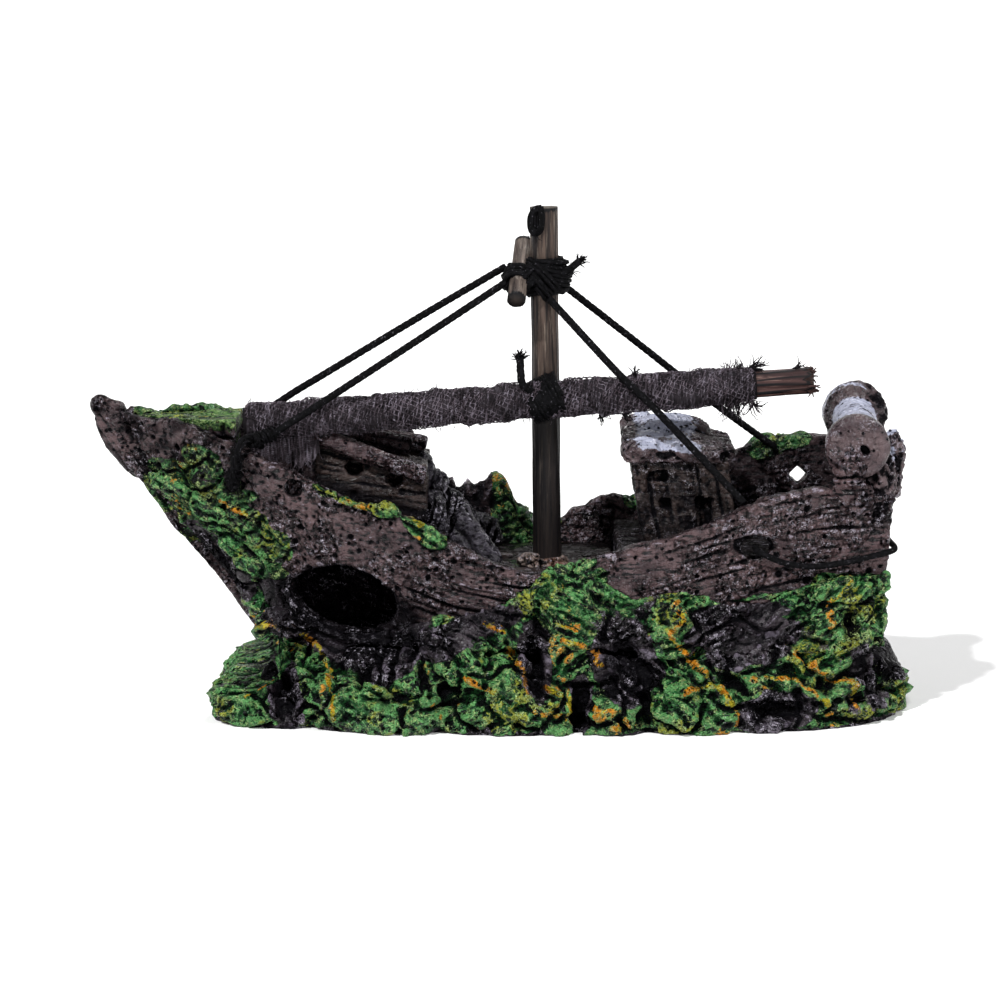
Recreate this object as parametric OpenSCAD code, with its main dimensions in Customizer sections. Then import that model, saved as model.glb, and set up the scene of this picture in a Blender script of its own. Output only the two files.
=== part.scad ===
// Sunken fishing boat on a rock reef, a bubbling aquarium ornament.
// Millimetres. +Z is up, -X is the bow, -Y is the port side with the cave mouth.
// The origin is on the floor, under the middle of the whole ornament.

/* [Hull] */
// Height at which the planking leaves the rocks
foot_z = 20; // [16:1:22]
// Thickness of the planking
plank_t = 5; // [4:0.5:6]
// Share of the full beam that is left at the foot of the planking
foot_flare = 0.76; // [0.7:0.01:0.85]
// Width of the stem post
stem_w = 6; // [5:0.5:7]
// Thickness of the decks
deck_t = 4; // [3:0.5:5]
// Top of the main deck, where the mast stands
main_deck_z = 37.5; // [36:0.5:38]
// Top of the fore deck, above the cave
fore_deck_z = 49.5; // [48:0.5:51]
// Top of the aft deck
aft_deck_z = 44.5; // [43:0.5:46]
// Top of the forecastle deck
forecastle_z = 78; // [76:0.5:78.5]

/* [Cave] */
// Width of the cave mouth
mouth_w = 29; // [26:1:30]
// Height of the cave mouth
mouth_h = 19.5; // [17:0.5:20]
// Middle of the cave mouth along the hull
mouth_x = -41; // [-43:1:-39]
// Middle of the cave mouth above the floor
mouth_z = 32; // [31.5:0.5:33]

/* [Rig] */
// Diameter of the mast
mast_d = 7.4; // [6.5:0.1:7.8]
// Height of the mast top above the floor
mast_top_z = 133.6; // [128:0.2:136]
// Lean of the mast towards the bow, in degrees
mast_lean = 0.7; // [0:0.1:1.5]
// Diameter of the bare boom
boom_d = 8; // [7:0.1:8.2]
// Outer diameter of the gauze wound on the boom
wrap_d = 10.4; // [9.6:0.1:10.6]
// Diameter of the yard peg
peg_d = 5.3; // [4.6:0.1:5.5]
// Diameter of the stays
stay_d = 2.2; // [1.6:0.1:2.4]
// Diameter of the stern line
line_d = 1.8; // [1.2:0.1:2]

/* [Windlass] */
// Diameter of the near disc
disc_d = 16.8; // [15:0.2:17.4]
// Diameter of the far knob
knob_d = 18; // [16:0.2:18.4]
// Diameter of the waist
waist_d = 11.5; // [10:0.5:12]

/* [Air supply] */
// Outer diameter of the inlet spigot, for 4 mm airline
spigot_d = 4.4; // [4.2:0.1:4.8]
// Length of the spigot that airline pushes over
spigot_len = 9; // [7:0.5:10]
// Outer diameter of the inner airline
airline_d = 6; // [5.6:0.1:6.4]
// Bore of the inner airline
airline_bore = 4; // [3.8:0.1:4.2]
// Diameter of the air stone
stone_d = 13; // [11:0.5:14]
// Length of the air stone
stone_len = 26; // [20:1:28]
// Diameter of a bubble hole in the main deck
bubble_d = 5; // [4.5:0.5:6]

/* [Hidden] */
$fn = 48;
gap = 0.1;         // glue line between separate castings
deck_gap = 0.6;    // room between a deck's edge and the faceted planking
eps = 0.01;

// ---- Lines of the hull: [height, x] for its ends, [share of length, half beam], [x, height] ----
stem_line = [[20, -66], [33, -75], [48, -88], [65, -99.5], [83, -108]];
stern_edge = [[20, 101], [60, 102], [70, 104], [83, 104]];
half_beams = [[0, 0], [0.05, 8], [0.1, 13.5], [0.2, 24], [0.3, 31.5], [0.4, 36.8],
    [0.5, 39.8], [0.6, 39.3], [0.7, 37.2], [0.8, 34], [0.9, 30], [1, 26.5]];
port_sheer = [[-108, 83], [-93, 80], [-80, 76.5], [-68, 72], [-56, 67.5], [-44, 61],
    [-38, 58], [-26, 58], [-17, 51], [-3, 45], [5, 39.8], [16, 43], [28, 47], [43, 50.5],
    [55, 54], [67, 60], [80, 62.5], [104, 60.5]];
starboard_sheer = [[-108, 83], [-93, 80], [-80, 78.5], [-68, 76], [-56, 70], [-44, 65],
    [-30, 61], [-18, 57], [-9, 51], [0, 56.5], [4, 53], [10, 43.5], [20, 43.5], [28, 47],
    [36, 49.5], [48, 50], [60, 58], [67, 65], [80, 68.5], [93, 69], [104, 66]];
// Height that the rocks climb to on the outside of each side
port_crest = [[-98, 64], [-86, 62], [-74, 54], [-64, 46], [-56, 31], [-46, 23], [-30, 23],
    [-20, 27], [-8, 30], [2, 33], [10, 39], [24, 42], [31, 34], [46, 37], [56, 33], [66, 31],
    [76, 36], [86, 39], [104, 39]];
starboard_crest = [[-98, 60], [-80, 54], [-62, 40], [-44, 33], [-30, 38], [-12, 33], [4, 40],
    [22, 40], [34, 33], [50, 38], [66, 32], [80, 38], [104, 38]];
hull_top_z = 83;
stations = 26;
levels = 6;

function flare(z) = foot_flare + (1 - foot_flare) * sqrt(max(0, z - foot_z) / (hull_top_z - foot_z));
function hull_x(u, z) = lookup(z, stem_line) * (1 - u) + lookup(z, stern_edge) * u;
function hull_u(x, z) = (x - lookup(z, stem_line)) / (lookup(z, stern_edge) - lookup(z, stem_line));
function hull_y(u, z) = max(stem_w / 2 + 0.4, lookup(u, half_beams) * flare(z));
// Height of the gunwale at a station, found by stepping between x and height
function rail_z(u, sheer, tries = 8, z = 60) =
    tries == 0 ? z : rail_z(u, sheer, tries - 1, (z + lookup(hull_x(u, z), sheer)) / 2);
function inner_y(x, z) = hull_y(max(0, hull_u(x, z)), z) - plank_t;
// Outline of the space between the sides at one height, kept clear of them
function hold_outline(x_fore, x_aft, z, clear) = let (steps = 8,
    xs = [for (i = [0:steps]) x_fore + (x_aft - x_fore) * i / steps],
    ys = [for (x = xs) max(1, inner_y(x, z) - clear)])
    concat([for (i = [0:steps]) [xs[i], -ys[i]]], [for (i = [steps:-1:0]) [xs[i], ys[i]]]);

// ---- Places ----
mast_x = 12.6;
boom_y = -9.1;
boom_fore = [-68, boom_y, 77];
boom_aft = [82.3, boom_y, 88.4];
boom_slope = atan2(boom_aft[2] - boom_fore[2], boom_aft[0] - boom_fore[0]);
boom_len = norm(boom_aft - boom_fore);
wrap_len = 136;
drape_len = 15;
peg_near = [4.1, -12, 109.8];
peg_far = [6.3, 7, 123.4];
drum_near = [92.4, -27.5, 73.1];
drum_far = [98.9, 23, 75];
stone_x = 26;
stone_y = -2;
inlet_z = 10;
bend_r = 24;
inlet_x = stone_x + 2 + bend_r;
inlet_y = 32;
hanger_x = 22.8;
step_d = 14;
step_z = 24;

// ---- Cord routes, chosen points ----
forestay_near_path = [[1.5, -5.5, 114], [-20, -9.4, 100.2], [-44, -14, 85],
    [-52, -15.6, 80], [-57, -15.8, 76.8], [-61, -15.6, 74]];
forestay_far_path = [[1.5, 2.5, 117.4], [-20, 0.6, 105], [-44, -1.6, 90.8],
    [-57, -2.6, 83], [-62.4, -3.2, 78.6], [-64, -6.4, 72.4], [-63.4, -11, 71]];
bow_lashing_path = [[-61.6, -15.8, 73], [-64.4, -18.2, 74.2], [-67, -21.6, 74],
    [-69, -22, 70], [-70, -20.4, 64.6], [-70.4, -18.4, 61.4], [-70.4, -13, 60.6]];
aftstay_near_path = [[17.4, -6.4, 114], [30, -13, 100], [36, -16.2, 93], [40, -17.2, 87.4],
    [46, -19.6, 79.4], [54, -23.6, 68.4], [60.6, -27, 59.4]];
aftstay_far_path = [[18, 4, 117], [38, 11.8, 99.5], [58, 19.8, 82], [77.6, 27.6, 64.6]];
stern_line_path = [[66.4, -27, 46.8], [66.6, -31.4, 46.8], [69, -32.2, 45.6], [74, -30.8, 43.4],
    [81.5, -29.2, 42.2], [90, -27.6, 43], [98, -26.2, 44.6], [102.4, -24.2, 45.4],
    [103.6, -20, 45.6], [103.6, -8, 45.2], [103.6, 8, 45.2], [103.6, 20, 45.8],
    [102.4, 24.2, 46], [98, 26.4, 46], [92, 27.8, 46], [90, 27, 46], [90, 23, 46]];
masthead_loop_path = [[13.2, -2.6, 133.8], [11.2, -4.4, 133], [9, -5, 129], [8, -4.8, 123], [8.4, -4.6, 121.6]];

// ---- General shapes ----
function cross_frame(d) = let (u = d / norm(d), a = abs(u[2]) < 0.9 ? [0, 0, 1] : [1, 0, 0],
    s = cross(u, a) / norm(cross(u, a))) [s, cross(s, u)];
function path_way(p, i) = p[min(i + 1, len(p) - 1)] - p[max(i - 1, 0)];

// A tube of round section that follows a list of points
module swept(path, d, sides = 8) {
    rings = [for (i = [0:len(path) - 1]) let (f = cross_frame(path_way(path, i)))
        for (k = [0:sides - 1]) path[i]
            + d / 2 * (cos(360 * k / sides) * f[0] + sin(360 * k / sides) * f[1])];
    walls = [for (i = [0:len(path) - 2]) for (k = [0:sides - 1])
        let (a = i * sides + k, b = i * sides + (k + 1) % sides) each
            [[a, b, b + sides], [a, b + sides, a + sides]]];
    near_end = [for (k = [0:sides - 1]) sides - 1 - k];
    far_end = [for (k = [0:sides - 1]) (len(path) - 1) * sides + k];
    polyhedron(points = rings, faces = concat(walls, [near_end, far_end]), convexity = 6);
}

// A closed skin between two grids of points: rows along the length, columns up the height
module shell(outer, inner) {
    rows = len(outer);
    cols = len(outer[0]);
    n = rows * cols;
    points = concat([for (r = outer) each r], [for (r = inner) each r]);
    quads = [for (i = [0:rows - 2]) for (j = [0:cols - 2]) let (a = i * cols + j) each
        [[a, a + cols, a + cols + 1, a + 1], [n + a, n + a + 1, n + a + cols + 1, n + a + cols]]];
    foot_and_rail = [for (i = [0:rows - 2]) let (a = i * cols, b = a + cols - 1) each
        [[a, n + a, n + a + cols, a + cols], [b, b + cols, n + b + cols, n + b]]];
    ends = [for (j = [0:cols - 2]) let (a = j, b = (rows - 1) * cols + j) each
        [[a, a + 1, n + a + 1, n + a], [b, n + b, n + b + 1, b + 1]]];
    triangles = [for (q = concat(quads, foot_and_rail, ends)) each
        [[q[2], q[1], q[0]], [q[3], q[2], q[0]]]];
    polyhedron(points = points, faces = triangles, convexity = 8);
}

// Planking of one side, from the foot to its own sheer; side is -1 to port, 1 to starboard
module planking(side, sheer) {
    function spot(i, j, inset) = let (u = pow(i / stations, 1.15), top = rail_z(u, sheer),
        z = foot_z + (top - foot_z) * j / levels, y = hull_y(u, z))
        [hull_x(u, z), side * max(stem_w / 2 + gap / 2, y - inset), z];
    outer = [for (i = [0:stations]) [for (j = [0:levels]) spot(i, j, 0)]];
    inner = [for (i = [0:stations]) [for (j = [0:levels]) spot(i, j, plank_t)]];
    if (side < 0) shell(outer, inner);
    else shell(inner, outer);
}

// A deck between two places along the hull, with its edges just inside the planking
module deck(x_fore, x_aft, top) {
    under = top - deck_t;
    translate([0, 0, under]) linear_extrude(deck_t)
        polygon(hold_outline(x_fore, x_aft, under, deck_gap));
}

// A bar of round section between two points
module rod(a, b, d) {
    v = b - a;
    translate(a) rotate([0, acos(v[2] / norm(v)), atan2(v[1], v[0])]) cylinder(h = norm(v), d = d);
}

// Moves its children onto the boom's axis, z running aft from the boom's fore end
module on_boom(along = 0) {
    translate(boom_fore) rotate([0, 90 - boom_slope, 0]) translate([0, 0, along]) children();
}

// Moves its children onto the mast's axis, z up from the main deck
module on_mast() {
    translate([mast_x, 0, main_deck_z]) rotate([0, -mast_lean, 0]) children();
}

// A weathered boulder: a cut block of uneven stone
module boulder(size, turn) {
    rotate(turn) hull() {
        cube([size[0], size[1] * 0.7, size[2] * 0.6], center = true);
        translate([size[0] * 0.08, 0, size[2] * 0.1]) cube([size[0] * 0.6, size[1], size[2] * 0.7], center = true);
        translate([-size[0] * 0.1, 0, size[2] * 0.1]) cube([size[0] * 0.4, size[1] * 0.5, size[2]], center = true);
    }
}

// ---- Reef ----
// Outline of the rocks on the floor: lobes with narrow gaps, anticlockwise from the port bow
reef_outline = [[-79.5, -18], [-79.5, -26], [-74, -31], [-64, -35], [-54, -36.5], [-50, -33.5],
    [-44, -38], [-32, -41], [-21, -41], [-16, -37.5], [-9, -42], [3, -43], [15, -42],
    [20.5, -38.5], [25, -42], [31, -43], [35.5, -41.5], [38, -38.5], [44, -41], [54, -41],
    [60, -37.5], [68, -39], [82, -37], [94, -32], [102, -25], [106, -19], [107, -11],
    [110, -5], [110, 6], [105, 17], [97, 27], [88, 34], [76, 38], [70, 35.5], [61, 40.5],
    [48, 43], [36, 42], [30, 38], [20, 42], [6, 43], [-8, 42], [-14, 37.5], [-24, 41],
    [-38, 41], [-50, 38], [-56, 34], [-66, 36], [-76, 30], [-79.5, 19], [-77, 4], [-77.5, -8]];
// Share of the way in from the floor outline to the hull's foot, by height
reef_profile = [[-1, 0.08], [3, 0], [8, 0.16], [14, 0.5], [foot_z + 1, 1.08]];
reef_lip = 7;
crest_lip = 1;

function hull_foot(p) = let (x = -72 + (p[0] + 79.5) * 174.5 / 189.5, out = abs(p[1]) * 0.9,
    y = hull_y(max(0, hull_u(x, foot_z)), foot_z) + reef_lip)
    [x, sign(p[1]) * (out < y ? out : y + (out - y) * 0.1)];
function reef_ring(z) = let (t = lookup(z, reef_profile))
    [for (p = reef_outline) let (q = hull_foot(p)) [p[0] + (q[0] - p[0]) * t, p[1] + (q[1] - p[1]) * t, z]];

module reef_body() {
    heights = [for (p = reef_profile) p[0]];
    n = len(reef_outline);
    points = [for (z = heights) each reef_ring(z)];
    walls = [for (k = [0:len(heights) - 2]) for (i = [0:n - 1])
        let (a = k * n + i, b = k * n + (i + 1) % n) each [[a, b + n, b], [a, a + n, b + n]]];
    floor_face = [for (i = [0:n - 1]) i];
    top_face = [for (i = [0:n - 1]) len(heights) * n - 1 - i];
    polyhedron(points = points, faces = concat(walls, [floor_face, top_face]), convexity = 8);
}

module reef_base() {
    cavity_low = [[-66, -9], [-58, -19], [-20, -27], [60, -27], [88, -23], [97, -11],
        [97, 11], [88, 23], [60, 27], [-20, 27], [-58, 19], [-66, 9]];
    low_top = 13;
    color("#4c6b2a") difference() {
        intersection() {
            reef_body();
            translate([-100, -60, 0]) cube([230, 120, foot_z]);
        }
        translate([0, 0, -1]) linear_extrude(low_top + 1) polygon(cavity_low);
        translate([0, 0, low_top - 1]) linear_extrude(foot_z)
            polygon(hold_outline(-50, 92, foot_z, 1));
        // notch in the back of the rim, where the airline comes in
        translate([inlet_x - 7, inlet_y, -1]) cube([14, 20, inlet_z + 8]);
        translate([inlet_x, inlet_y + 1, inlet_z]) rotate([90, 0, 0]) cylinder(h = 20, d = 7.2);
    }
}

// The rocks that climb one side, thick at the hull's foot and thin at their crest
module apron(side, crest) {
    function spot(i, j, out) = let (u = 0.02 + 0.98 * i / stations, top = rail_z(u, crest),
        z = foot_z + (top - foot_z) * j / levels, lip = reef_lip + (crest_lip - reef_lip) * j / levels)
        [hull_x(u, z), side * (hull_y(u, z) + gap + out * lip), z];
    outer = [for (i = [0:stations]) [for (j = [0:levels]) spot(i, j, 1)]];
    inner = [for (i = [0:stations]) [for (j = [0:levels]) spot(i, j, 0)]];
    if (side < 0) shell(outer, inner);
    else shell(inner, outer);
}

module reef_apron_port() {
    color("#4c6b2a") difference() {
        apron(-1, port_crest);
        mouth_prism();
    }
}

module reef_apron_starboard() {
    color("#4c6b2a") apron(1, starboard_crest);
}

// ---- Hull ----
module mouth_prism() {
    points = [for (i = [0:23]) [mouth_w / 2 * cos(15 * i), mouth_h / 2 * sin(15 * i)]];
    translate([mouth_x, 0, mouth_z]) rotate([90, 0, 0]) rotate([0, 0, -12])
        linear_extrude(60) polygon(points);
}

module port_side() {
    color("#5b4240") difference() {
        planking(-1, port_sheer);
        mouth_prism();
        // square port
        translate([-53.9, -22, 61.8]) cube([3.5, 20, 4.2], center = true);
        // rope holes at the bow and on the quarter
        translate([-70.4, -8, 60.8]) rotate([90, 0, 0]) cylinder(h = 20, d = 6);
        translate([66.4, -24, 46.8]) rotate([90, 0, 0]) cylinder(h = 20, d = 6);
    }
}

module starboard_side() {
    color("#4a3a38") difference() {
        planking(1, starboard_sheer);
        translate([82.4, 30, 57.4]) rotate([0, 45, 0]) cube([4.2, 24, 4.2], center = true);
        translate([90, 20, 46]) rotate([-90, 0, 0]) cylinder(h = 20, d = 4);
    }
}

module stem_post() {
    depth = 7;
    knob_z = 78.6;
    front = [for (z = [foot_z, 33, 48, 65, 76]) [lookup(z, stem_line), z]];
    back = [for (z = [76, 65, 48, 33, foot_z]) [lookup(z, stem_line) + depth, z]];
    color("#5b4240") difference() {
        union() {
            translate([0, stem_w / 2 - gap / 2, 0]) rotate([90, 0, 0])
                linear_extrude(stem_w - gap) polygon(concat(front, back));
            translate([-105, 0, knob_z]) sphere(d = 10);
        }
        translate([-110, -1, knob_z + 0.6]) rotate([0, 60, -20]) cylinder(h = 7, d = 2, center = true);
        // the knob is cut back where the planking passes it
        for (side = [-1, 1]) scale([1, side, 1])
            translate([-103.6, stem_w / 2 - gap / 2, 60]) cube([10, 10, 30]);
    }
}

module transom() {
    face = 95.5;
    thick = 5;
    heights = [foot_z, 28, 38, 48, 58];
    port = [for (z = heights) [-inner_y(face + thick, z) + deck_gap, z]];
    starboard = [for (i = [4:-1:0]) [inner_y(face + thick, heights[i]) - deck_gap, heights[i]]];
    color("#4a3a38") translate([face, 0, 0]) rotate([90, 0, 90])
        linear_extrude(thick) polygon(concat(port, starboard));
}

module stern_post() {
    outline = [[101, 58], [105.2, 58.6], [105.6, 64], [106, 71], [104.2, 75.4], [102.2, 74.6],
        [102.6, 68], [101.4, 64]];
    color("#63504e") translate([0, -9, 0]) rotate([90, 0, 0]) linear_extrude(9) polygon(outline);
}

// ---- Decks ----
module forecastle_deck() {
    color("#3f7a2c") union() {
        deck(-97, -70, forecastle_z);
        // bulkhead below its after edge
        translate([-73, -9, fore_deck_z + gap]) cube([2.6, 18, forecastle_z - deck_t / 2 - fore_deck_z]);
    }
}

module fore_deck() {
    color("#40312f") deck(-74, -17, fore_deck_z);
}

module main_deck() {
    bubble_xs = [1, 25];
    bubble_spread = 9;
    color("#40312f") difference() {
        union() {
            deck(-17, 31, main_deck_z);
            // riser up to the fore deck
            translate([-17, -25, main_deck_z - eps]) cube([2.5, 50, fore_deck_z - main_deck_z - 3]);
        }
        translate([mast_x, 0, 0]) cylinder(h = 60, d = mast_d + 1.6);
        for (x = bubble_xs, side = [-1, 1])
            translate([x, side * bubble_spread, 0]) cylinder(h = 60, d = bubble_d);
    }
}

module aft_deck() {
    color("#40312f") union() {
        deck(31 + gap, 95, aft_deck_z);
        translate([31 + gap, -25, main_deck_z - deck_t]) cube([2.5, 50, aft_deck_z - main_deck_z]);
    }
}

// ---- Pieces on deck ----
module fore_cabin() {
    outline = [[-50, fore_deck_z + gap], [-19.5, fore_deck_z + gap], [-19.5, 65.5], [-49, 72]];
    near_y = -8;
    depth = 27;
    hole_d = 4.6;
    color("#4d3a34") difference() {
        translate([0, near_y + depth, 0]) rotate([90, 0, 0]) linear_extrude(depth) polygon(outline);
        for (h = [[-39, 64.8], [-28, 61.6]])
            translate([h[0], near_y - 1, h[1]]) rotate([-90, 0, 0]) cylinder(h = 7, d = hole_d);
        // planks part along two grooves
        for (z = [57, 63]) translate([-34.5, near_y - 0.6, z]) rotate([0, 6, 0])
            cube([36, 2.4, 0.8], center = true);
    }
}

module fore_cabin_roof() {
    log_d = 5;
    fall = -atan2(6.5, 29.5);
    color("#6a514a") for (i = [0:3]) translate([-49.4, -4.9 + i * 6.6, 72 + log_d / 2 + gap])
        rotate([0, 90 - fall, 0]) cylinder(h = 30 - (i % 2) * 4, d = log_d);
}

module rock_stack() {
    color("#5a5258") {
        translate([-12.2, 14, 45]) boulder([7, 14, 14], [0, 8, 0]);
        translate([-4, 17, 42.5]) boulder([7, 12, 9.5], [0, -10, 15]);
        translate([-11.2, 0, 42]) boulder([5.5, 9, 8.6], [0, 6, -12]);
    }
}

module broken_plank() {
    color("#6b6468") translate([-6.6, -17, 44.4]) rotate([0, 34, -18]) cube([15, 5, 6], center = true);
}

module aft_cabin() {
    x0 = 34;
    width = 28.5;
    near_y = -11;
    depth = 28;
    wall = [[near_y, aft_deck_z + gap], [near_y + depth, aft_deck_z + gap], [near_y + depth, 73], [near_y, 66.8]];
    color("#54403c") difference() {
        translate([x0, 0, 0]) rotate([90, 0, 90]) linear_extrude(width) polygon(wall);
        // windows in the near wall
        for (w = [[41.8, 63, 5], [43, 55.5, 3.6]])
            translate([w[0], near_y, w[1]]) cube([w[2], 5, 3], center = true);
        // doorway in the near wall
        translate([54, near_y, 53]) cube([4.4, 6, 9], center = true);
    }
}

module aft_cabin_roof() {
    tilt = atan2(73 - 66.8, 28);
    color("#b8bcc8") translate([32.6, -12.6, 66.6 + gap]) rotate([tilt, 0, 0]) difference() {
        cube([31.5, 31, 3.4]);
        translate([31.5, 0, -1]) rotate([0, 0, 38]) cube([6, 6, 8], center = true);
        translate([0, 31, -1]) rotate([0, 0, 50]) cube([8, 8, 12], center = true);
    }
}

// ---- Windlass ----
drum_len = norm(drum_far - drum_near);
module on_drum() {
    v = drum_far - drum_near;
    translate(drum_near) rotate([0, acos(v[2] / norm(v)), atan2(v[1], v[0])]) children();
}

module windlass_drum() {
    rim = 1.2;
    disc_t = 5.5;
    knob_t = 9;
    outline = [[0, 0], [disc_d / 2 - rim, 0], [disc_d / 2, rim], [disc_d / 2, disc_t - rim],
        [waist_d / 2, disc_t + 2.5], [waist_d / 2, drum_len - knob_t - 3],
        [knob_d / 2 - 0.6, drum_len - knob_t], [knob_d / 2, drum_len - knob_t / 2],
        [knob_d / 2 - 2.4, drum_len - 0.8], [0, drum_len]];
    color("#77605c") on_drum() difference() {
        rotate_extrude() polygon(outline);
        translate([-1.5, 1, -1]) cylinder(h = 3.4, d = 2.4);
    }
}

module drum_relief() {
    on_drum() cylinder(h = drum_len, d = waist_d + 2 * gap);
}

module windlass_post(y, x) {
    color("#5b4240") difference() {
        translate([x, y, aft_deck_z + gap]) cylinder(h = 29, d1 = 9.5, d2 = 8);
        drum_relief();
        translate([x, y, 92]) cube([36, 30, 36], center = true);
    }
}

module windlass_post_port() {
    windlass_post(-15, 94);
}

module windlass_post_starboard() {
    windlass_post(9, 97.1);
}

// ---- Mast and boom ----
module mast() {
    color("#2b241f") on_mast() translate([0, 0, -deck_t - 7]) cylinder(h = mast_top_z - main_deck_z + deck_t + 7, d = mast_d);
}

module mast_step() {
    color("#4a3a38") difference() {
        translate([mast_x, 0, step_z]) cylinder(h = main_deck_z - deck_t - step_z, d = step_d);
        on_mast() translate([0, 0, -deck_t - 7.05]) cylinder(h = 30, d = mast_d + 0.1);
    }
}

module mast_wedge() {
    color("#b0a49c") difference() {
        translate([mast_x, 0, main_deck_z + eps]) union() {
            cylinder(h = 2, d1 = 12.5, d2 = 9.5);
            translate([-4, -5.6, 0]) cylinder(h = 2.4, d1 = 5, d2 = 3);
        }
        on_mast() translate([0, 0, -10]) cylinder(h = 30, d = mast_d + 0.1);
    }
}

module yard_peg() {
    color("#6a5238") rod(peg_near, peg_far, peg_d);
}

module boom() {
    color("#7a4a30") on_boom() difference() {
        cylinder(h = boom_len, d = boom_d);
        // the aft end is broken off on two slants
        translate([1.2, 0, boom_len + 1.6]) rotate([0, 24, 12]) cube([14, 14, 4], center = true);
        translate([-3.2, 2, boom_len + 1.2]) rotate([18, -20, 0]) cube([8, 14, 4], center = true);
    }
}

module boom_wrap() {
    color("#504848") on_boom() difference() {
        cylinder(h = wrap_len, d = wrap_d);
        translate([0, 0, -1]) cylinder(h = wrap_len + 2, d = boom_d + 0.06);
    }
}

module gauze_drape() {
    droop = 6.5;
    color("#4a4244") on_boom(3) translate([wrap_d / 2 + gap, -0.9, 0]) linear_extrude(drape_len)
        polygon([[0, 0], [droop, -0.6], [droop, 1.2], [0, 1.8]]);
}

module masthead_lashing() {
    band_z = [110.6, 121.6];
    r = 6.1;
    color("#1c1c20") difference() {
        translate([0, 0, band_z[0]]) linear_extrude(band_z[1] - band_z[0]) union() {
            translate([11.6, 0]) circle(r = r);
            translate([5.8, -1.5]) circle(r = 4.6);
            polygon([[11.6, -r], [11.6, r], [5, 2.9], [5, -6]]);
        }
        on_mast() cylinder(h = 200, d = mast_d + 0.1);
        rod(peg_near - (peg_far - peg_near), peg_far + (peg_far - peg_near), peg_d + 0.1);
    }
}

module masthead_loop() {
    color("#1c1c20") swept(masthead_loop_path, 1.4, 8);
}

// One turn of cord round the boom and the mast, leaning by an angle
module cross_turn(lean) {
    d = 2;
    boom_z = boom_fore[2] + (mast_x - boom_fore[0]) * tan(boom_slope);
    half = [[5.2, -15.6], [7.6, -12.6], [7.6, -7], [6, 0.5], [4, 4.2], [0, 5.2]];
    turn = concat(half, [for (i = [4:-1:0]) [-half[i][0], half[i][1]]], [[0, -16]], [half[0]]);
    translate([mast_x - 0.6, 0, boom_z]) rotate([0, lean, 0])
        swept([for (p = turn) [p[0], p[1], 0]], d, 8);
}

module boom_lashing() {
    color("#1c1c20") union() {
        cross_turn(50);
        cross_turn(-50);
    }
}

// ---- Cords ----
module bow_lashing() {
    color("#1c1c20") swept(bow_lashing_path, 3.4, 10);
}

module forestay_near() {
    color("#1c1c20") swept(forestay_near_path, stay_d);
}

module forestay_far() {
    color("#1c1c20") swept(forestay_far_path, stay_d);
}

module aftstay_near() {
    color("#1c1c20") swept(aftstay_near_path, stay_d);
}

module aftstay_far() {
    color("#1c1c20") swept(aftstay_far_path, stay_d);
}

module stern_line() {
    color("#1c1c20") swept(stern_line_path, line_d);
}

// ---- Air supply ----
module air_inlet() {
    inside = 10;
    color("#9aa0a4") translate([inlet_x, inlet_y, inlet_z]) rotate([-90, 0, 0]) difference() {
        union() {
            translate([0, 0, 0]) cylinder(h = 1.6, d = 10);
            cylinder(h = spigot_len + 1.6, d = spigot_d);
            translate([0, 0, -8]) cylinder(h = 8 + eps, d = 7);
            translate([0, 0, -8 - inside]) cylinder(h = inside + eps, d = airline_bore - 0.06);
        }
        translate([0, 0, -30]) cylinder(h = 60, d = 2.4);
    }
}

module air_tube() {
    tube_y = inlet_y - 8;
    turn_y = stone_y + bend_r;
    color("#c8ccd0", 0.6) translate([0, 0, inlet_z]) union() {
        translate([inlet_x, tube_y - gap, 0]) rotate([90, 0, 0]) ring(tube_y - gap - turn_y);
        translate([inlet_x - bend_r, turn_y, 0]) rotate([0, 0, -90]) rotate_extrude(angle = 90)
            translate([bend_r, 0]) difference() {
                circle(d = airline_d);
                circle(d = airline_bore);
            }
        translate([stone_x, stone_y, 0]) rotate([0, 90, 0]) ring(inlet_x - bend_r - stone_x);
    }
}

module ring(h) {
    linear_extrude(h) difference() {
        circle(d = airline_d);
        circle(d = airline_bore);
    }
}

module air_stone() {
    nipple = 8;
    color("#6f8fb0") translate([stone_x - gap, stone_y, inlet_z]) rotate([0, -90, 0]) union() {
        cylinder(h = stone_len, d = stone_d);
        translate([0, 0, -nipple]) cylinder(h = nipple + eps, d = airline_bore - 0.06);
    }
}

module stone_hanger() {
    wall = 2;
    color("#d8d8d4") translate([hanger_x, stone_y, inlet_z]) union() {
        rotate([0, 90, 0]) rotate([0, 0, 30]) rotate_extrude(angle = 300)
            translate([stone_d / 2 + gap, -3]) square([wall, 6]);
        translate([0, 0, stone_d / 2 + gap + wall / 2])
            cylinder(h = main_deck_z - deck_t - inlet_z - stone_d / 2 - wall / 2 - 2 * gap, d = 4);
    }
}

reef_base();
reef_apron_port();
reef_apron_starboard();
port_side();
starboard_side();
stem_post();
transom();
stern_post();
forecastle_deck();
fore_deck();
main_deck();
aft_deck();
fore_cabin();
fore_cabin_roof();
rock_stack();
broken_plank();
aft_cabin();
aft_cabin_roof();
windlass_drum();
windlass_post_port();
windlass_post_starboard();
mast();
mast_step();
mast_wedge();
yard_peg();
boom();
boom_wrap();
gauze_drape();
masthead_lashing();
masthead_loop();
boom_lashing();
bow_lashing();
forestay_near();
forestay_far();
aftstay_near();
aftstay_far();
stern_line();
air_inlet();
air_tube();
air_stone();
stone_hanger();
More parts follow.
